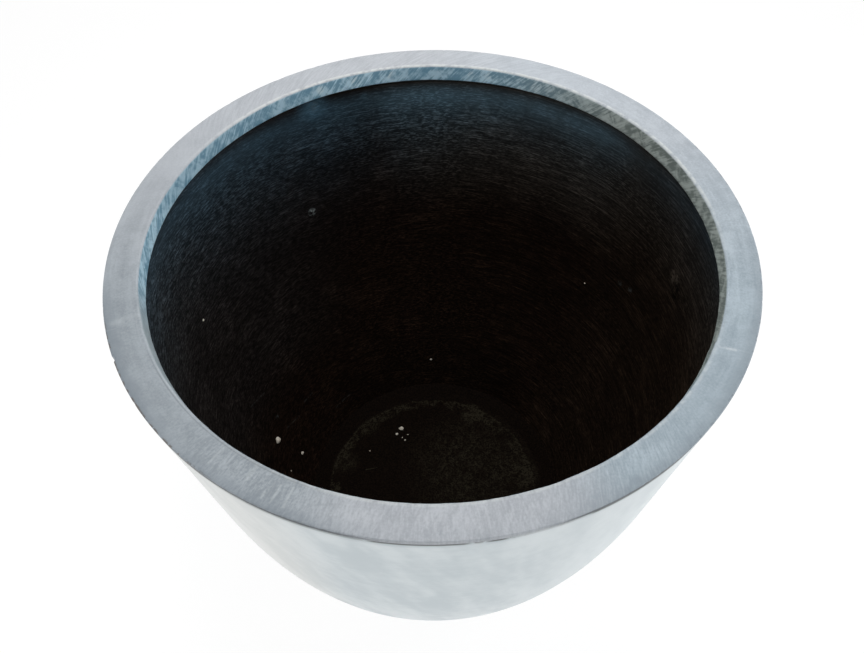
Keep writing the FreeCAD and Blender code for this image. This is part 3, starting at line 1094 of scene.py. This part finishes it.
def build_cap_colour(pot):
    """Colour of the rim's flat top, with the tone and the relief of its sanding, a painted sheen at the back,
    and painted shade along its outer edge in front.
    """
    clouds = cloud(pot.place, 30 * MM)
    mottle = cloud(pot.place, 8 * MM)
    grain = cloud(pot.place, 2 * MM)
    sanding = build_cap_sanding(pot)
    stripe = pot.radius.close_to(STRIPE_RADIUS, 10 * MM, 2 * MM) * pot.facing(-163.0, 22.0, 45.0)
    dull = stripe + pot.zones((-59.0, 6.0, 18.0, 1.0), (-120.0, 4.0, 13.0, 0.8))
    lift = pot.zones((-137.0, 8.0, 22.0, 0.6), (158.0, 15.0, 35.0, 1.0))
    tone = clouds * 0.25 + mottle * 0.1 + grain * 0.2 + sanding * 0.45 - dull * 0.035 + lift * 0.03
    calm = pot.zones((120.0, 45.0, 80.0, 0.4), (-44.0, 12.0, 32.0, 0.35), (-150.0, 10.0, 30.0, 0.3))
    tone = calm.mix(tone, CAP_TONE)
    # The rim is rubbed paler in front. At the back the paler colour, cooler towards the back-right, is a
    # painted sheen.
    rubbed_and_sheen = pot.facing(-86.0, 10.0, 28.0) * clouds.ramp(0.1, 0.4) * 0.85
    rubbed_and_sheen = rubbed_and_sheen.most(pot.facing(92.0, 50.0, 115.0) * 0.85)
    bluish = pot.facing(-25.0, 32.0, 60.0)
    cool = pot.facing(42.0, 18.0, 50.0)
    dark = rubbed_and_sheen.tint(bluish.tint(CAP_DARK, BLUISH_DARK), cool.tint(RUBBED_AND_SHEEN_DARK, COOL_DARK))
    light = rubbed_and_sheen.tint(bluish.tint(CAP_LIGHT, BLUISH_LIGHT), cool.tint(RUBBED_AND_SHEEN_LIGHT, COOL_LIGHT))
    colour = tone.ramp(0.395, 0.605).tint(dark, light)
    for azimuth, first, last, reach in SCRATCHES:
        scratch = pot.by_line(rim_spot(azimuth, first), rim_spot(azimuth, last), reach)
        colour = (scratch * grain.ramp(0.15, 0.5) * 0.3).tint(colour, SCRATCHED_CAP)
    # Along the outer edge of the cap, round the front half, painted shade darkens a band, more at the
    # front-left.
    band = (pot.radius + mottle * (14 * MM)).ramp(RIM_RADIUS - 7 * MM, RIM_RADIUS + 7 * MM)
    sides = (pot.facing(-88.0, 70.0, 100.0) - rubbed_and_sheen * 0.75).most(0.0)
    shade_weight = bluish * 0.3 + pot.zones((-114.0, 8.0, 21.0, 0.35), (-153.0, 8.0, 22.0, 0.5)) + 0.22
    colour = (band * sides * shade_weight).tint(colour, SHADED_CAP)
    return colour, tone, sanding


print("the cap has", len(SCRATCHES), "scratches")

# %% Colour of the lip
LIP_BLUE_DARK, LIP_BLUE_LIGHT = (0.165, 0.325, 0.44), (0.51, 0.72, 0.84)
LIP_GREEN_DARK, LIP_GREEN_LIGHT = (0.19, 0.225, 0.21), (0.47, 0.525, 0.495)
LIP_STAIN = (0.08, 0.20, 0.29)
LIP_GREY = (0.36, 0.40, 0.41)
LIP_PALE = (0.62, 0.75, 0.80)
PATCH_DROP = 8 * MM
LIP_PATCHES = [(99.4, 7 * MM), (80.0, 6 * MM), (75.7, 6 * MM), (64.0, 9 * MM), (108.0, 8 * MM),
               (117.0, 6 * MM)]


def build_lip_colour(pot):
    """Colour of the lip, with the relief of its scrubbing."""
    one_way = pot.strokes(pot.height, 3.6 * MM, 16 * MM, lean=1.0)
    other_way = pot.strokes(pot.height, 4.2 * MM, 12 * MM, lean=-0.9)
    turned = cloud(pot.place, 16 * MM).ramp(0.53, 0.62, 0.0, 0.6)
    scrub = turned.mix(one_way, other_way) * 0.5 + cloud(pot.place, 12 * MM) * 0.5
    worn = scrub.ramp(0.42, 0.59)
    stained = pot.zones((127.0, 5.0, 16.0, 0.25), (155.0, 7.0, 18.0, 0.25), (90.0, 5.0, 15.0, 0.2))
    blue = stained.tint(worn.tint(LIP_BLUE_DARK, LIP_BLUE_LIGHT), LIP_STAIN)
    green = worn.tint(LIP_GREEN_DARK, LIP_GREEN_LIGHT)
    # Lighter blue at the back and the left, darker greenish grey at the right: partly drifted paint, partly
    # painted light from the right.
    colour = pot.facing(8.0, 25.0, 74.0).tint(blue, green)
    colour = (pot.facing(-146.0, 10.0, 26.0) * 0.8).tint(colour, LIP_GREY)
    for azimuth, reach in LIP_PATCHES:
        spot = direction(azimuth) * lip_radius(LIP_FOOT) + Vector((0.0, 0.0, POT_HEIGHT - PATCH_DROP))
        colour = (pot.near(spot, reach) * one_way.ramp(0.4, 0.6) * 0.8).tint(colour, LIP_PALE)
    return colour, scrub


print("the lip has", len(LIP_PATCHES), "pale patches")

# %% Colour of the whole rim
EDGE_HIGHLIGHT = (0.68, 0.71, 0.70)
ARRIS_STAIN_AND_SHADE = (0.035, 0.05, 0.06)
ARRIS_BROWN = (0.10, 0.085, 0.07)
BRINK_DARK = (0.12, 0.14, 0.16)
CREASE_SHADE = (0.13, 0.15, 0.16)
SMEARED_FILLER = (0.68, 0.72, 0.74)
JOINT_SMEARS = [((-28.1, 273 * MM), (-27.6, 286 * MM), 1.9 * MM, 0.5),
                ((-161.4, 271 * MM), (-161.0, 292 * MM), 6 * MM, 0.14)]


def wear_edges(pot, colour, patches):
    """The colour of the rim with a painted highlight on its inner edge, a stain and painted shade on its
    outer side, and a line of painted shade inside the inner edge.
    """
    # A pale line on the eased inner edge, strongest at the back: a painted highlight.
    edge = pot.radius.close_to(INNER_EDGE + 1.5 * MM, 2.6 * MM, 0.6 * MM) * patches.ramp(0.3, 0.6)
    edge = edge * pot.zones((75.0, 50.0, 85.0, 0.75), (-75.0, 30.0, 60.0, 0.35))
    colour = edge.tint(colour, EDGE_HIGHLIGHT)
    # The outer side of the cap is darkened: a stain, and painted shade where the groove under it is deep in
    # front.
    ragged = patches * (2 * MM)
    arris = (pot.radius + ragged).ramp(RIM_RADIUS - 1.0 * MM, RIM_RADIUS + 0.6 * MM)
    cap_side = (pot.height + ragged).ramp(POT_HEIGHT + 0.8 * MM, POT_HEIGHT - 1.2 * MM)
    stained = pot.zones((-122.0, 14.0, 28.0, 0.9), (-59.0, 7.0, 16.0, 0.95)) + 0.12
    colour = (arris * cap_side * stained).tint(colour, ARRIS_STAIN_AND_SHADE)
    brown = arris * pot.facing(-144.0, 10.0, 22.0) * patches.ramp(0.43, 0.53) * 0.9
    colour = brown.tint(colour, ARRIS_BROWN)
    brink = pot.radius.ramp(RIM_RADIUS - 2.4 * MM, RIM_RADIUS - 0.8 * MM) * patches.ramp(0.5, 0.6)
    colour = (brink * pot.facing(-2.0, 38.0, 56.0) * 0.5).tint(colour, BRINK_DARK)
    # A thin dark line just inside the inner edge, where its rounding starts: painted shade.
    crease = pot.radius.close_to(INNER_EDGE + 2.6 * MM, 1.1 * MM) * pot.facing(-130.0, 14.0, 26.0) * 0.45
    return crease.tint(colour, CREASE_SHADE)


def build_sanded_rim():
    """Group: colour, roughness and relief of the rim, over its cap, lip, edges and joints."""
    group, takes, end = new_group(
        "sanded rim", {"Place": "Vector"}, {"Colour": "Color", "Roughness": "Float", "Relief": "Float"})
    pot = Surface(takes["Place"])
    patches = cloud(pot.place, 7 * MM)
    colour, tone, sanding = build_cap_colour(pot)
    colour = wear_edges(pot, colour, patches)
    for first, last, reach, share in JOINT_SMEARS:
        pale = pot.by_line(rim_spot(*first), rim_spot(*last), reach) * patches.ramp(0.3, 0.6) * share
        colour = pale.tint(colour, SMEARED_FILLER)
    lip_colour, scrub = build_lip_colour(pot)
    on_lip = pot.height.ramp(POT_HEIGHT - 0.8 * MM, POT_HEIGHT - 2.2 * MM)
    on_lip = on_lip * pot.radius.ramp(INNER_EDGE + 3 * MM, INNER_EDGE + 1 * MM)
    feed(end, {"Colour": on_lip.tint(colour, lip_colour), "Roughness": tone.ramp(0.3, 0.7, 0.6, 0.42),
               "Relief": on_lip.mix(sanding, scrub)})
    return group


SANDED_RIM = build_sanded_rim()
print(SANDED_RIM.name, "has", len(SANDED_RIM.nodes), "nodes")

# %% Rim and joint finishes
FILLER_COLOUR = (0.64, 0.67, 0.69)
RIM_RELIEF = 0.12 * MM


def build_rim_finish(name, filler_share):
    """Material of the rim or of its filler: the shared colour, with a share of pale paste in it."""
    material, place = new_material(name)
    sanded = use(place.tree, SANDED_RIM, Place=place)
    grain = cloud(place, 5 * MM).ramp(0.4, 0.65) * filler_share
    colour = grain.tint(sanded["Colour"], FILLER_COLOUR)
    return finish_material(material, colour, sanded["Roughness"], sanded["Relief"], RIM_RELIEF)


rim_finish = build_rim_finish("sanded_rim", 0.0)
filler_finish = build_rim_finish("pale_filler", 0.12)

# %% [markdown]
# ## Crumbs, adhesive and the hidden pieces
# Crumbs of filler are pale and chalky. The bond line is a dark paste that has taken up dirt. The packing
# and the floor plate hide inside, but they are finished too, because a cut or a view from below shows them.

# %% Pastes
PASTE_RELIEF = 0.2 * MM


def build_paste(name, dark, light, grain_size):
    """Material of a paste: two tones in grains of a size, rough all over."""
    material, place = new_material(name)
    grain = cloud(place, grain_size)
    colour = grain.ramp(0.35, 0.65).tint(dark, light)
    return finish_material(material, colour, grain.ramp(0.3, 0.7, 0.9, 0.65), grain, PASTE_RELIEF)


crumb_finish = build_paste("crumb_filler", (0.87, 0.79, 0.66), (0.97, 0.91, 0.80), 3 * MM)
adhesive_finish = build_paste("dark_adhesive", (0.03, 0.033, 0.033), (0.09, 0.09, 0.088), 9 * MM)
packing_finish = build_paste("light_packing", (0.36, 0.36, 0.33), (0.44, 0.44, 0.41), 6 * MM)
laminate_finish = build_paste("bare_laminate", (0.26, 0.28, 0.26), (0.34, 0.36, 0.33), 12 * MM)

# %% [markdown]
# ## Black brushed coat
# The coat is nearly black and a little brown. Its bristle marks show as thin grey lines, level at the back
# and
# the right, and crinkled at the left: the light they catch is painted into the colour, as painted glints.
# They make the colour under them lighter or darker by a share of itself, so they are a group that gives a
# gain. When the rim was sprayed, a blue mist drifted on
# the top of the coat: thick at the back, thin at the right, and far down at the left; a grey haze of
# sanding dust lies under it. Right under the lip the mist fades out, as painted shade of the lip.

# %% Bristle marks
CALM_GAIN = 1.1


def build_bristle_marks():
    """Group: the gain that bristle marks and their painted glints give to the colour of the coat, and their
    relief.
    """
    group, takes, end = new_group("bristle marks and glints", {"Place": "Vector"}, {"Gain": "Float", "Relief": "Float"})
    pot = Surface(takes["Place"])
    short = pot.strokes(pot.height, 5.5 * MM, 1.2 * MM, lean=0.04)
    long = pot.strokes(pot.height, 24 * MM, 1.2 * MM, lean=0.06)
    level = short * 0.65 + long * 0.5 - 0.075
    slanting = pot.strokes(pot.height, 5.5 * MM, 1.4 * MM, lean=0.45)
    patches = cloud(pot.place, 50 * MM)
    marks = patches.ramp(0.48, 0.6).mix(level, slanting)
    sweeping = pot.strokes(pot.height, 45 * MM, 1.1 * MM, lean=0.05)
    at_right = pot.facing(32.0, 25.0, 55.0) * 0.45
    marks = at_right.mix(marks, sweeping * 0.9 + 0.05)
    grainy = pot.strokes(pot.height, 2.8 * MM, 2.7 * MM, lean=-0.6)
    ribbed = pot.strokes(pot.height, 9 * MM, 1.3 * MM, lean=-0.3)
    at_left = pot.facing(172.0, 15.0, 70.0) * 0.8
    marks = at_left.mix(marks, grainy * 0.3 + ribbed * 0.8 - 0.05)
    brushed = pot.lines(pot.height, 60 * MM, 5 * MM, lean=0.06) * patches.ramp(0.55, 0.42)
    # The gain paints glints: where the marks stand high, the colour is made up to 3.4 times lighter.
    gain = marks.ramp(0.43, 0.70, 0.45, 3.4) * brushed.ramp(0.0, 1.0, 0.92, 1.5)
    calm = pot.height.ramp(400 * MM, 450 * MM, 0.0, 0.6)
    feed(end, {"Gain": calm.mix(gain, CALM_GAIN), "Relief": marks})
    return group


BRISTLE_MARKS_AND_GLINTS = build_bristle_marks()
print(BRISTLE_MARKS_AND_GLINTS.name, "has", len(BRISTLE_MARKS_AND_GLINTS.nodes), "nodes")

# %% Mist on the coat
MIST_FALL = 0.952
LEFT_MIST_FALL = 0.978
MIST_SMEARS = [(105.6, 454 * MM, 8 * MM, 0.12), (118.0, 460 * MM, 26 * MM, 0.4)]


def build_mist(pot):
    """How much mist lies on the coat: it thins with each millimetre down, unevenly round the pot, and fades
    out under the lip as painted shade.
    """
    drop = give(pot.tree, "ShaderNodeMath", {0: COAT_SHOULDER, 1: pot.height}, operation="SUBTRACT") / MM
    fall = pot.facing(165.0, 30.0, 110.0).mix(MIST_FALL, LEFT_MIST_FALL)
    amount = pot.zones((165.0, 55.0, 100.0, 0.235), (138.0, 10.0, 32.0, 0.05), (180.0, 16.0, 30.0, -0.05),
                       (70.0, 14.0, 36.0, 0.97), (101.0, 8.0, 24.0, 0.14), (22.0, 20.0, 40.0, 0.18)) + 0.05
    mist = fall.math("POWER", drop) * amount * cloud(pot.place, 20 * MM).ramp(0.25, 0.7, 0.85, 1.15)
    # Just under the lip the mist fades out: painted shade of the lip.
    mist = mist * pot.height.ramp(COAT_SHOULDER + 2 * MM, COAT_SHOULDER - 22 * MM)
    for azimuth, height, reach, share in MIST_SMEARS:
        mist = mist + pot.near(coat_spot(azimuth, height), reach, core=0.0) * share
    return mist


print("the mist halves within", round(math.log(0.5) / math.log(MIST_FALL), 1), "mm")

# %% Wall coat finish
COAT_BLACK = (0.0115, 0.0066, 0.0043)
RIGHT_BLACK = (0.0152, 0.0096, 0.0063)
DEEP_BLACK = (0.003, 0.002, 0.001)
HAZE_COLOUR = (0.21, 0.20, 0.175)
MIST_COLOUR = (0.15, 0.33, 0.48)
BACK_MIST = (0.19, 0.35, 0.465)
SCRATCH_COLOUR = (0.30, 0.34, 0.34)
SCRATCH_REACH = 1.6 * MM
COAT_SCRATCHES = [((153.5, 87.4 * MM), (147.7, 85.7 * MM)), ((141.7, 43.6 * MM), (132.5, 44.6 * MM)),
                  ((167.8, 93.6 * MM), (158.7, 81.8 * MM)), ((172.4, 167.7 * MM), (164.1, 153.5 * MM))]
BLISTER_HIGHLIGHT = (0.22, 0.18, 0.14)
BLISTER_SHADOW = (0.0015, 0.0012, 0.001)
COAT_SMEARS = [(25.4, 290 * MM, 5 * MM, 0.2), (29.3, 285 * MM, 5 * MM, 0.12), (166.4, 115 * MM, 4 * MM, 0.2),
               (124.0, 321 * MM, 7 * MM, 1.0), (118.0, 458 * MM, 10 * MM, 0.12)]
BLISTER = (13.6, 368 * MM, 12 * MM, 0.4)
BLISTER_FOOT = (10.8, 358 * MM)
BLISTER_FOOT_REACH = 13 * MM
COAT_RELIEF = 0.5 * MM
COAT_SHEEN = {"Specular IOR Level": 0.05}


def build_coat_finish():
    """Material of the wall coat: black, with bristle marks and their painted glints, haze, bluish mist at the
    top, and a painted highlight and shadow on the blister.
    """
    material, place = new_material("black_brushed_coat")
    pot = Surface(place)
    bristles = use(pot.tree, BRISTLE_MARKS_AND_GLINTS, Place=place)
    grain = cloud(place, 4 * MM)
    colour = pot.facing(0.0, 20.0, 50.0).tint(COAT_BLACK, RIGHT_BLACK)
    deep = pot.facing(90.0, 25.0, 60.0) * pot.height.ramp(140 * MM, 30 * MM) * 0.4
    colour = deep.tint(colour, DEEP_BLACK)
    low = pot.facing(172.0, 15.0, 60.0) * pot.height.ramp(90 * MM, 200 * MM)
    haze = pot.zones((67.0, 14.0, 41.0, 0.14), (190.0, 10.0, 35.0, 0.035)) + 0.02
    right_haze = pot.facing(12.0, 16.0, 36.0) * pot.height.ramp(320 * MM, 440 * MM) * 0.06
    haze = haze * pot.height.ramp(270 * MM, 440 * MM) + right_haze + low * 0.02
    colour = haze.tint(colour, HAZE_COLOUR)
    mist_colour = pot.facing(65.0, 25.0, 55.0).tint(MIST_COLOUR, BACK_MIST)
    colour = (build_mist(pot) + low * 0.01).tint(colour, mist_colour)
    # The colour is scaled by the gain of the bristle marks and their painted glints.
    colour = vector_sum(pot.tree, "SCALE", colour, scale=bristles["Gain"])
    for first, last in COAT_SCRATCHES:
        scratch = pot.by_line(coat_spot(*first), coat_spot(*last), SCRATCH_REACH)
        colour = (scratch * grain.ramp(0.4, 0.6) * 0.1).tint(colour, SCRATCH_COLOUR)
    # Pale smears; on the blister the pale colour is a painted highlight on its top.
    for azimuth, height, reach, share in COAT_SMEARS + [BLISTER]:
        smear = pot.near(coat_spot(azimuth, height), reach) * grain.ramp(0.4, 0.62) * share
        smear_colour = BLISTER_HIGHLIGHT if azimuth == BLISTER[0] else SCRATCH_COLOUR
        colour = smear.tint(colour, smear_colour)
    # A painted shadow under the blister.
    shadow = pot.near(coat_spot(*BLISTER_FOOT), BLISTER_FOOT_REACH) * grain.ramp(0.6, 0.4)
    colour = shadow.tint(colour, BLISTER_SHADOW)
    relief = bristles["Relief"]
    return finish_material(material, colour, relief.ramp(0.3, 0.7, 0.7, 0.5), relief, COAT_RELIEF, COAT_SHEEN)


coat_finish = build_coat_finish()

# %% [markdown]
# ## Dusty floor and bead
# The floor has the same coat under dust the colour of dry soil, thickest in the middle and on the lumpy toe
# of the bead. Above its toe the bead is black, because the wall coat was brushed over it. One group lays
# the dust on both pieces, so it runs on across the ragged edge between them.

# %% Dust
DUST_CENTRE = (-4 * MM, 1.5 * MM, FLOOR_TOP)
DUST_RING = 141 * MM
DUST_WAVER = 12 * MM
PATCH_CORE = 0.2
DUST_PATCHES = [(52 * MM, 30 * MM, 115 * MM, 0.5), (55 * MM, 119 * MM, 20 * MM, 1.3),
                (-95 * MM, 98 * MM, 20 * MM, 0.5), (-128 * MM, 40 * MM, 26 * MM, 0.5),
                (122 * MM, 20 * MM, 30 * MM, 0.5)]
FLOOR_HAIR = (-96.4 * MM, 28.4 * MM, FLOOR_TOP), (-81.1 * MM, 31.4 * MM, FLOOR_TOP)
HAIR_REACH = 1.1 * MM


def build_soil_dust():
    """Group: how thick the dust lies on the floor and on the toe of the bead."""
    group, takes, end = new_group("soil dust", {"Place": "Vector"}, {"Dust": "Float", "Grain": "Float"})
    pot = Surface(takes["Place"])
    grain = cloud(pot.place, 1.9 * MM)
    lumps = cloud(pot.place, 14 * MM)
    lace = cloud(pot.place, 3.6 * MM).ramp(0.40, 0.62, 0.1, 1.6)
    ragged = cloud(pot.place, 5 * MM).ramp(0.35, 0.62, 0.2, 1.2)
    away = vector_sum(group, "DISTANCE", pot.place, DUST_CENTRE) + lumps * DUST_WAVER - DUST_WAVER / 2
    ring = away.close_to(DUST_RING - 7 * MM, 9 * MM, 2 * MM) * lumps.ramp(0.42, 0.62) * lace
    brim = away.close_to(DUST_RING - 1.5 * MM, 2.6 * MM, 0.4 * MM) * lace
    thick = ring * 0.55 + brim * 0.6 + pot.by_line(*FLOOR_HAIR, HAIR_REACH) * 1.2
    for x, y, reach, share in DUST_PATCHES:
        patch = pot.near((x, y, FLOOR_TOP), reach, core=PATCH_CORE)
        thick = thick + patch * lumps.ramp(0.2, 0.6) * ragged * share
    thick = thick * grain.ramp(0.36, 0.64, 0.15, 1.8)
    on_floor = pot.radius.ramp(FLOOR_RADIUS + 3 * MM, FLOOR_RADIUS - 1 * MM)
    feed(end, {"Dust": thick * on_floor, "Grain": grain})
    return group


SOIL_DUST = build_soil_dust()
print(SOIL_DUST.name, "has", len(SOIL_DUST.nodes), "nodes")

# %% Floor finishes
FLOOR_BLACK = (0.0115, 0.0072, 0.0047)
PORE_BLACK = (0.003, 0.0018, 0.0011)
DUST_COLOUR = (0.037, 0.0315, 0.0205)
FLOOR_RELIEF = 0.4 * MM
FLOOR_SHEEN = {"Specular IOR Level": 0.03}


def build_dusty_finish(name):
    """Material of the floor or the bead: black coat under dust."""
    material, place = new_material(name)
    soil = use(place.tree, SOIL_DUST, Place=place)
    black = soil["Grain"].ramp(0.36, 0.64).tint(PORE_BLACK, FLOOR_BLACK)
    colour = soil["Dust"].tint(black, DUST_COLOUR)
    roughness = soil["Dust"].ramp(0.0, 1.0, 0.7, 0.95)
    return finish_material(material, colour, roughness, soil["Grain"], FLOOR_RELIEF, FLOOR_SHEEN)


floor_finish = build_dusty_finish("dusty_floor")
bead_finish = build_dusty_finish("dusty_bead")

# %% [markdown]
# ## Putting it together
# Each new piece takes its finish, rides on the one body and stands for the CAD node that it refines. Two
# nodes hide inside the pot and keep their CAD shape: the floor plate, seen only from below through
# the flange, and the packing behind the lip.

# %% Dress the pieces
DRESSING = [
    ("planter_shell", "outer_shell", "wall_finish", wall_finish),
    ("brushed_wall_coat", "wall_coating", "black_coat", coat_finish),
    ("floor_bead_paste", "floor_bead", "bonding_paste", bead_finish),
    ("floor_coat", "floor_coating", "dusty_coat", floor_finish),
    ("adhesive_bond_line", "rim_bond_line", "adhesive", adhesive_finish),
]
DRESSING += [(f"sanded_{node}", node, "rim_finish", rim_finish) for node in RIM_SEGMENTS]
DRESSING += [(f"filled_{node}", node, "joint_filler", filler_finish) for node in RIM_JOINTS]
for name, node, slot, finish in DRESSING:
    piece = pieces[name]
    piece.data.materials.append(finish)
    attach(piece, "root")
    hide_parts(node)
for crumb in crumbs:
    crumb.data.materials.append(crumb_finish)
    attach(crumb, "root")
for node, finish in (("base_plate", laminate_finish), ("rim_core", packing_finish)):
    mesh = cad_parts[node].data
    mesh.materials.clear()
    mesh.materials.append(finish)
print("dressed", len(DRESSING), "pieces and", len(crumbs), "crumbs")

# %% [markdown]
# ## Floor and light
# The pot stands on a white sweep under soft light. The world gives some of it, from all round. One lamp hangs
# straight above, so light reaches the floor inside. One stands behind, so the rim is lightest at the back,
# one at the right lights the lip across the pot, and two low ones light the wall from both sides. To the
# camera the world is plain white. The floor is white by its own colour, and it keeps a faint shadow.

# %% Stage
WORLD_LEVEL = 0.3
FLOOR_SIZE = 8.0
FLOOR_DROP = 0.2 * MM
WHITE = (1.0, 1.0, 1.0)
SWEEP_GREY = (0.85, 0.85, 0.85)
SHADOW_GREY = (0.12, 0.12, 0.12)
SWEEP_GLOW = 0.92

bpy.ops.object.select_all(action="DESELECT")
bpy.ops.mesh.primitive_plane_add(size=FLOOR_SIZE, location=(0, 0, -FLOOR_DROP))
floor = bpy.context.object
floor.name = "studio_floor"
floor_paint = bpy.data.materials.new("white_sweep")
floor_paint.use_nodes = True
sweep_tree = floor_paint.node_tree
sweep_tree.nodes.clear()


def seen_directly(tree):
    """One for rays from the camera, straight or by reflection or through glass, and nothing for the rest."""
    path = outputs_of(put(tree, "ShaderNodeLightPath", {}))
    return path["Is Camera Ray"].most(path["Is Glossy Ray"]).most(path["Is Transmission Ray"])


plain = give(sweep_tree, "ShaderNodeBsdfDiffuse", {"Color": as_colour(SWEEP_GREY)})
glow = give(sweep_tree, "ShaderNodeEmission", {"Color": as_colour(WHITE), "Strength": SWEEP_GLOW})
shade = give(sweep_tree, "ShaderNodeBsdfDiffuse", {"Color": as_colour(SHADOW_GREY)})
white = give(sweep_tree, "ShaderNodeAddShader", {0: glow, 1: shade})
either = give(sweep_tree, "ShaderNodeMixShader", {0: seen_directly(sweep_tree), 1: plain, 2: white})
put(sweep_tree, "ShaderNodeOutputMaterial", {0: either})
floor.data.materials.append(floor_paint)

world = bpy.data.worlds.new("white_studio")
bpy.context.scene.world = world
world.use_nodes = True
sky = world.node_tree
level = seen_directly(sky).ramp(0.0, 1.0, WORLD_LEVEL, 1.0)
feed(sky.nodes["Background"], {"Color": as_colour(WHITE), "Strength": level})
print("floor and world set")


# %% Lamps
def hang_lamp(name, spot, aim, width, power):
    """A square soft lamp at a spot, aimed at another."""
    bpy.ops.object.light_add(type="AREA", location=spot)
    lamp = bpy.context.object
    lamp.name = name
    lamp.data.size = width
    lamp.data.energy = power
    lamp.rotation_euler = (Vector(aim) - Vector(spot)).to_track_quat("-Z", "Y").to_euler()


hang_lamp("top_lamp", (0.05, 0.0, 2.3), (0.0, 0.0, 0.0), 0.6, 14.0)
hang_lamp("back_lamp", (0.0, 1.1, 1.2), (0.0, 0.1, 0.4), 0.9, 5.5)
hang_lamp("right_lamp", (1.3, 0.3, 0.8), (-0.2, 0.0, 0.45), 0.7, 5.0)
hang_lamp("left_low_lamp", (-1.45, -0.95, 0.4), (0.0, 0.0, 0.25), 1.0, 10.3)
hang_lamp("right_low_lamp", (1.35, -1.05, 0.4), (0.0, 0.0, 0.25), 1.0, 10.6)

# %% [markdown]
# ## Camera
# The camera stands in front of the pot and above it, and looks down into it at 52 degrees. Its height,
# distance and small turn come from matching the two edges of the rim and the floor to the photograph.

# %% Camera
EYE = Vector((0.0, -560.285 * MM, 1084.59 * MM))
LENS = 36.0
SENSOR = 36.0
PITCH = math.radians(51.966)
YAW = -0.0017
ROLL = -0.0149

bpy.ops.object.camera_add()
camera = bpy.context.object
camera.name = "planter_camera"
camera.data.sensor_width = SENSOR
camera.data.lens = LENS
camera.data.clip_start = 0.01
tilt = Matrix.Rotation(math.pi / 2 - PITCH, 4, "X")
turned = Matrix.Rotation(-YAW, 4, "Z") @ tilt @ Matrix.Rotation(ROLL, 4, "Z")
camera.matrix_world = Matrix.Translation(EYE) @ turned
bpy.context.scene.camera = camera
bpy.context.scene.view_settings.view_transform = "Standard"
print("camera at", [round(part, 3) for part in EYE])
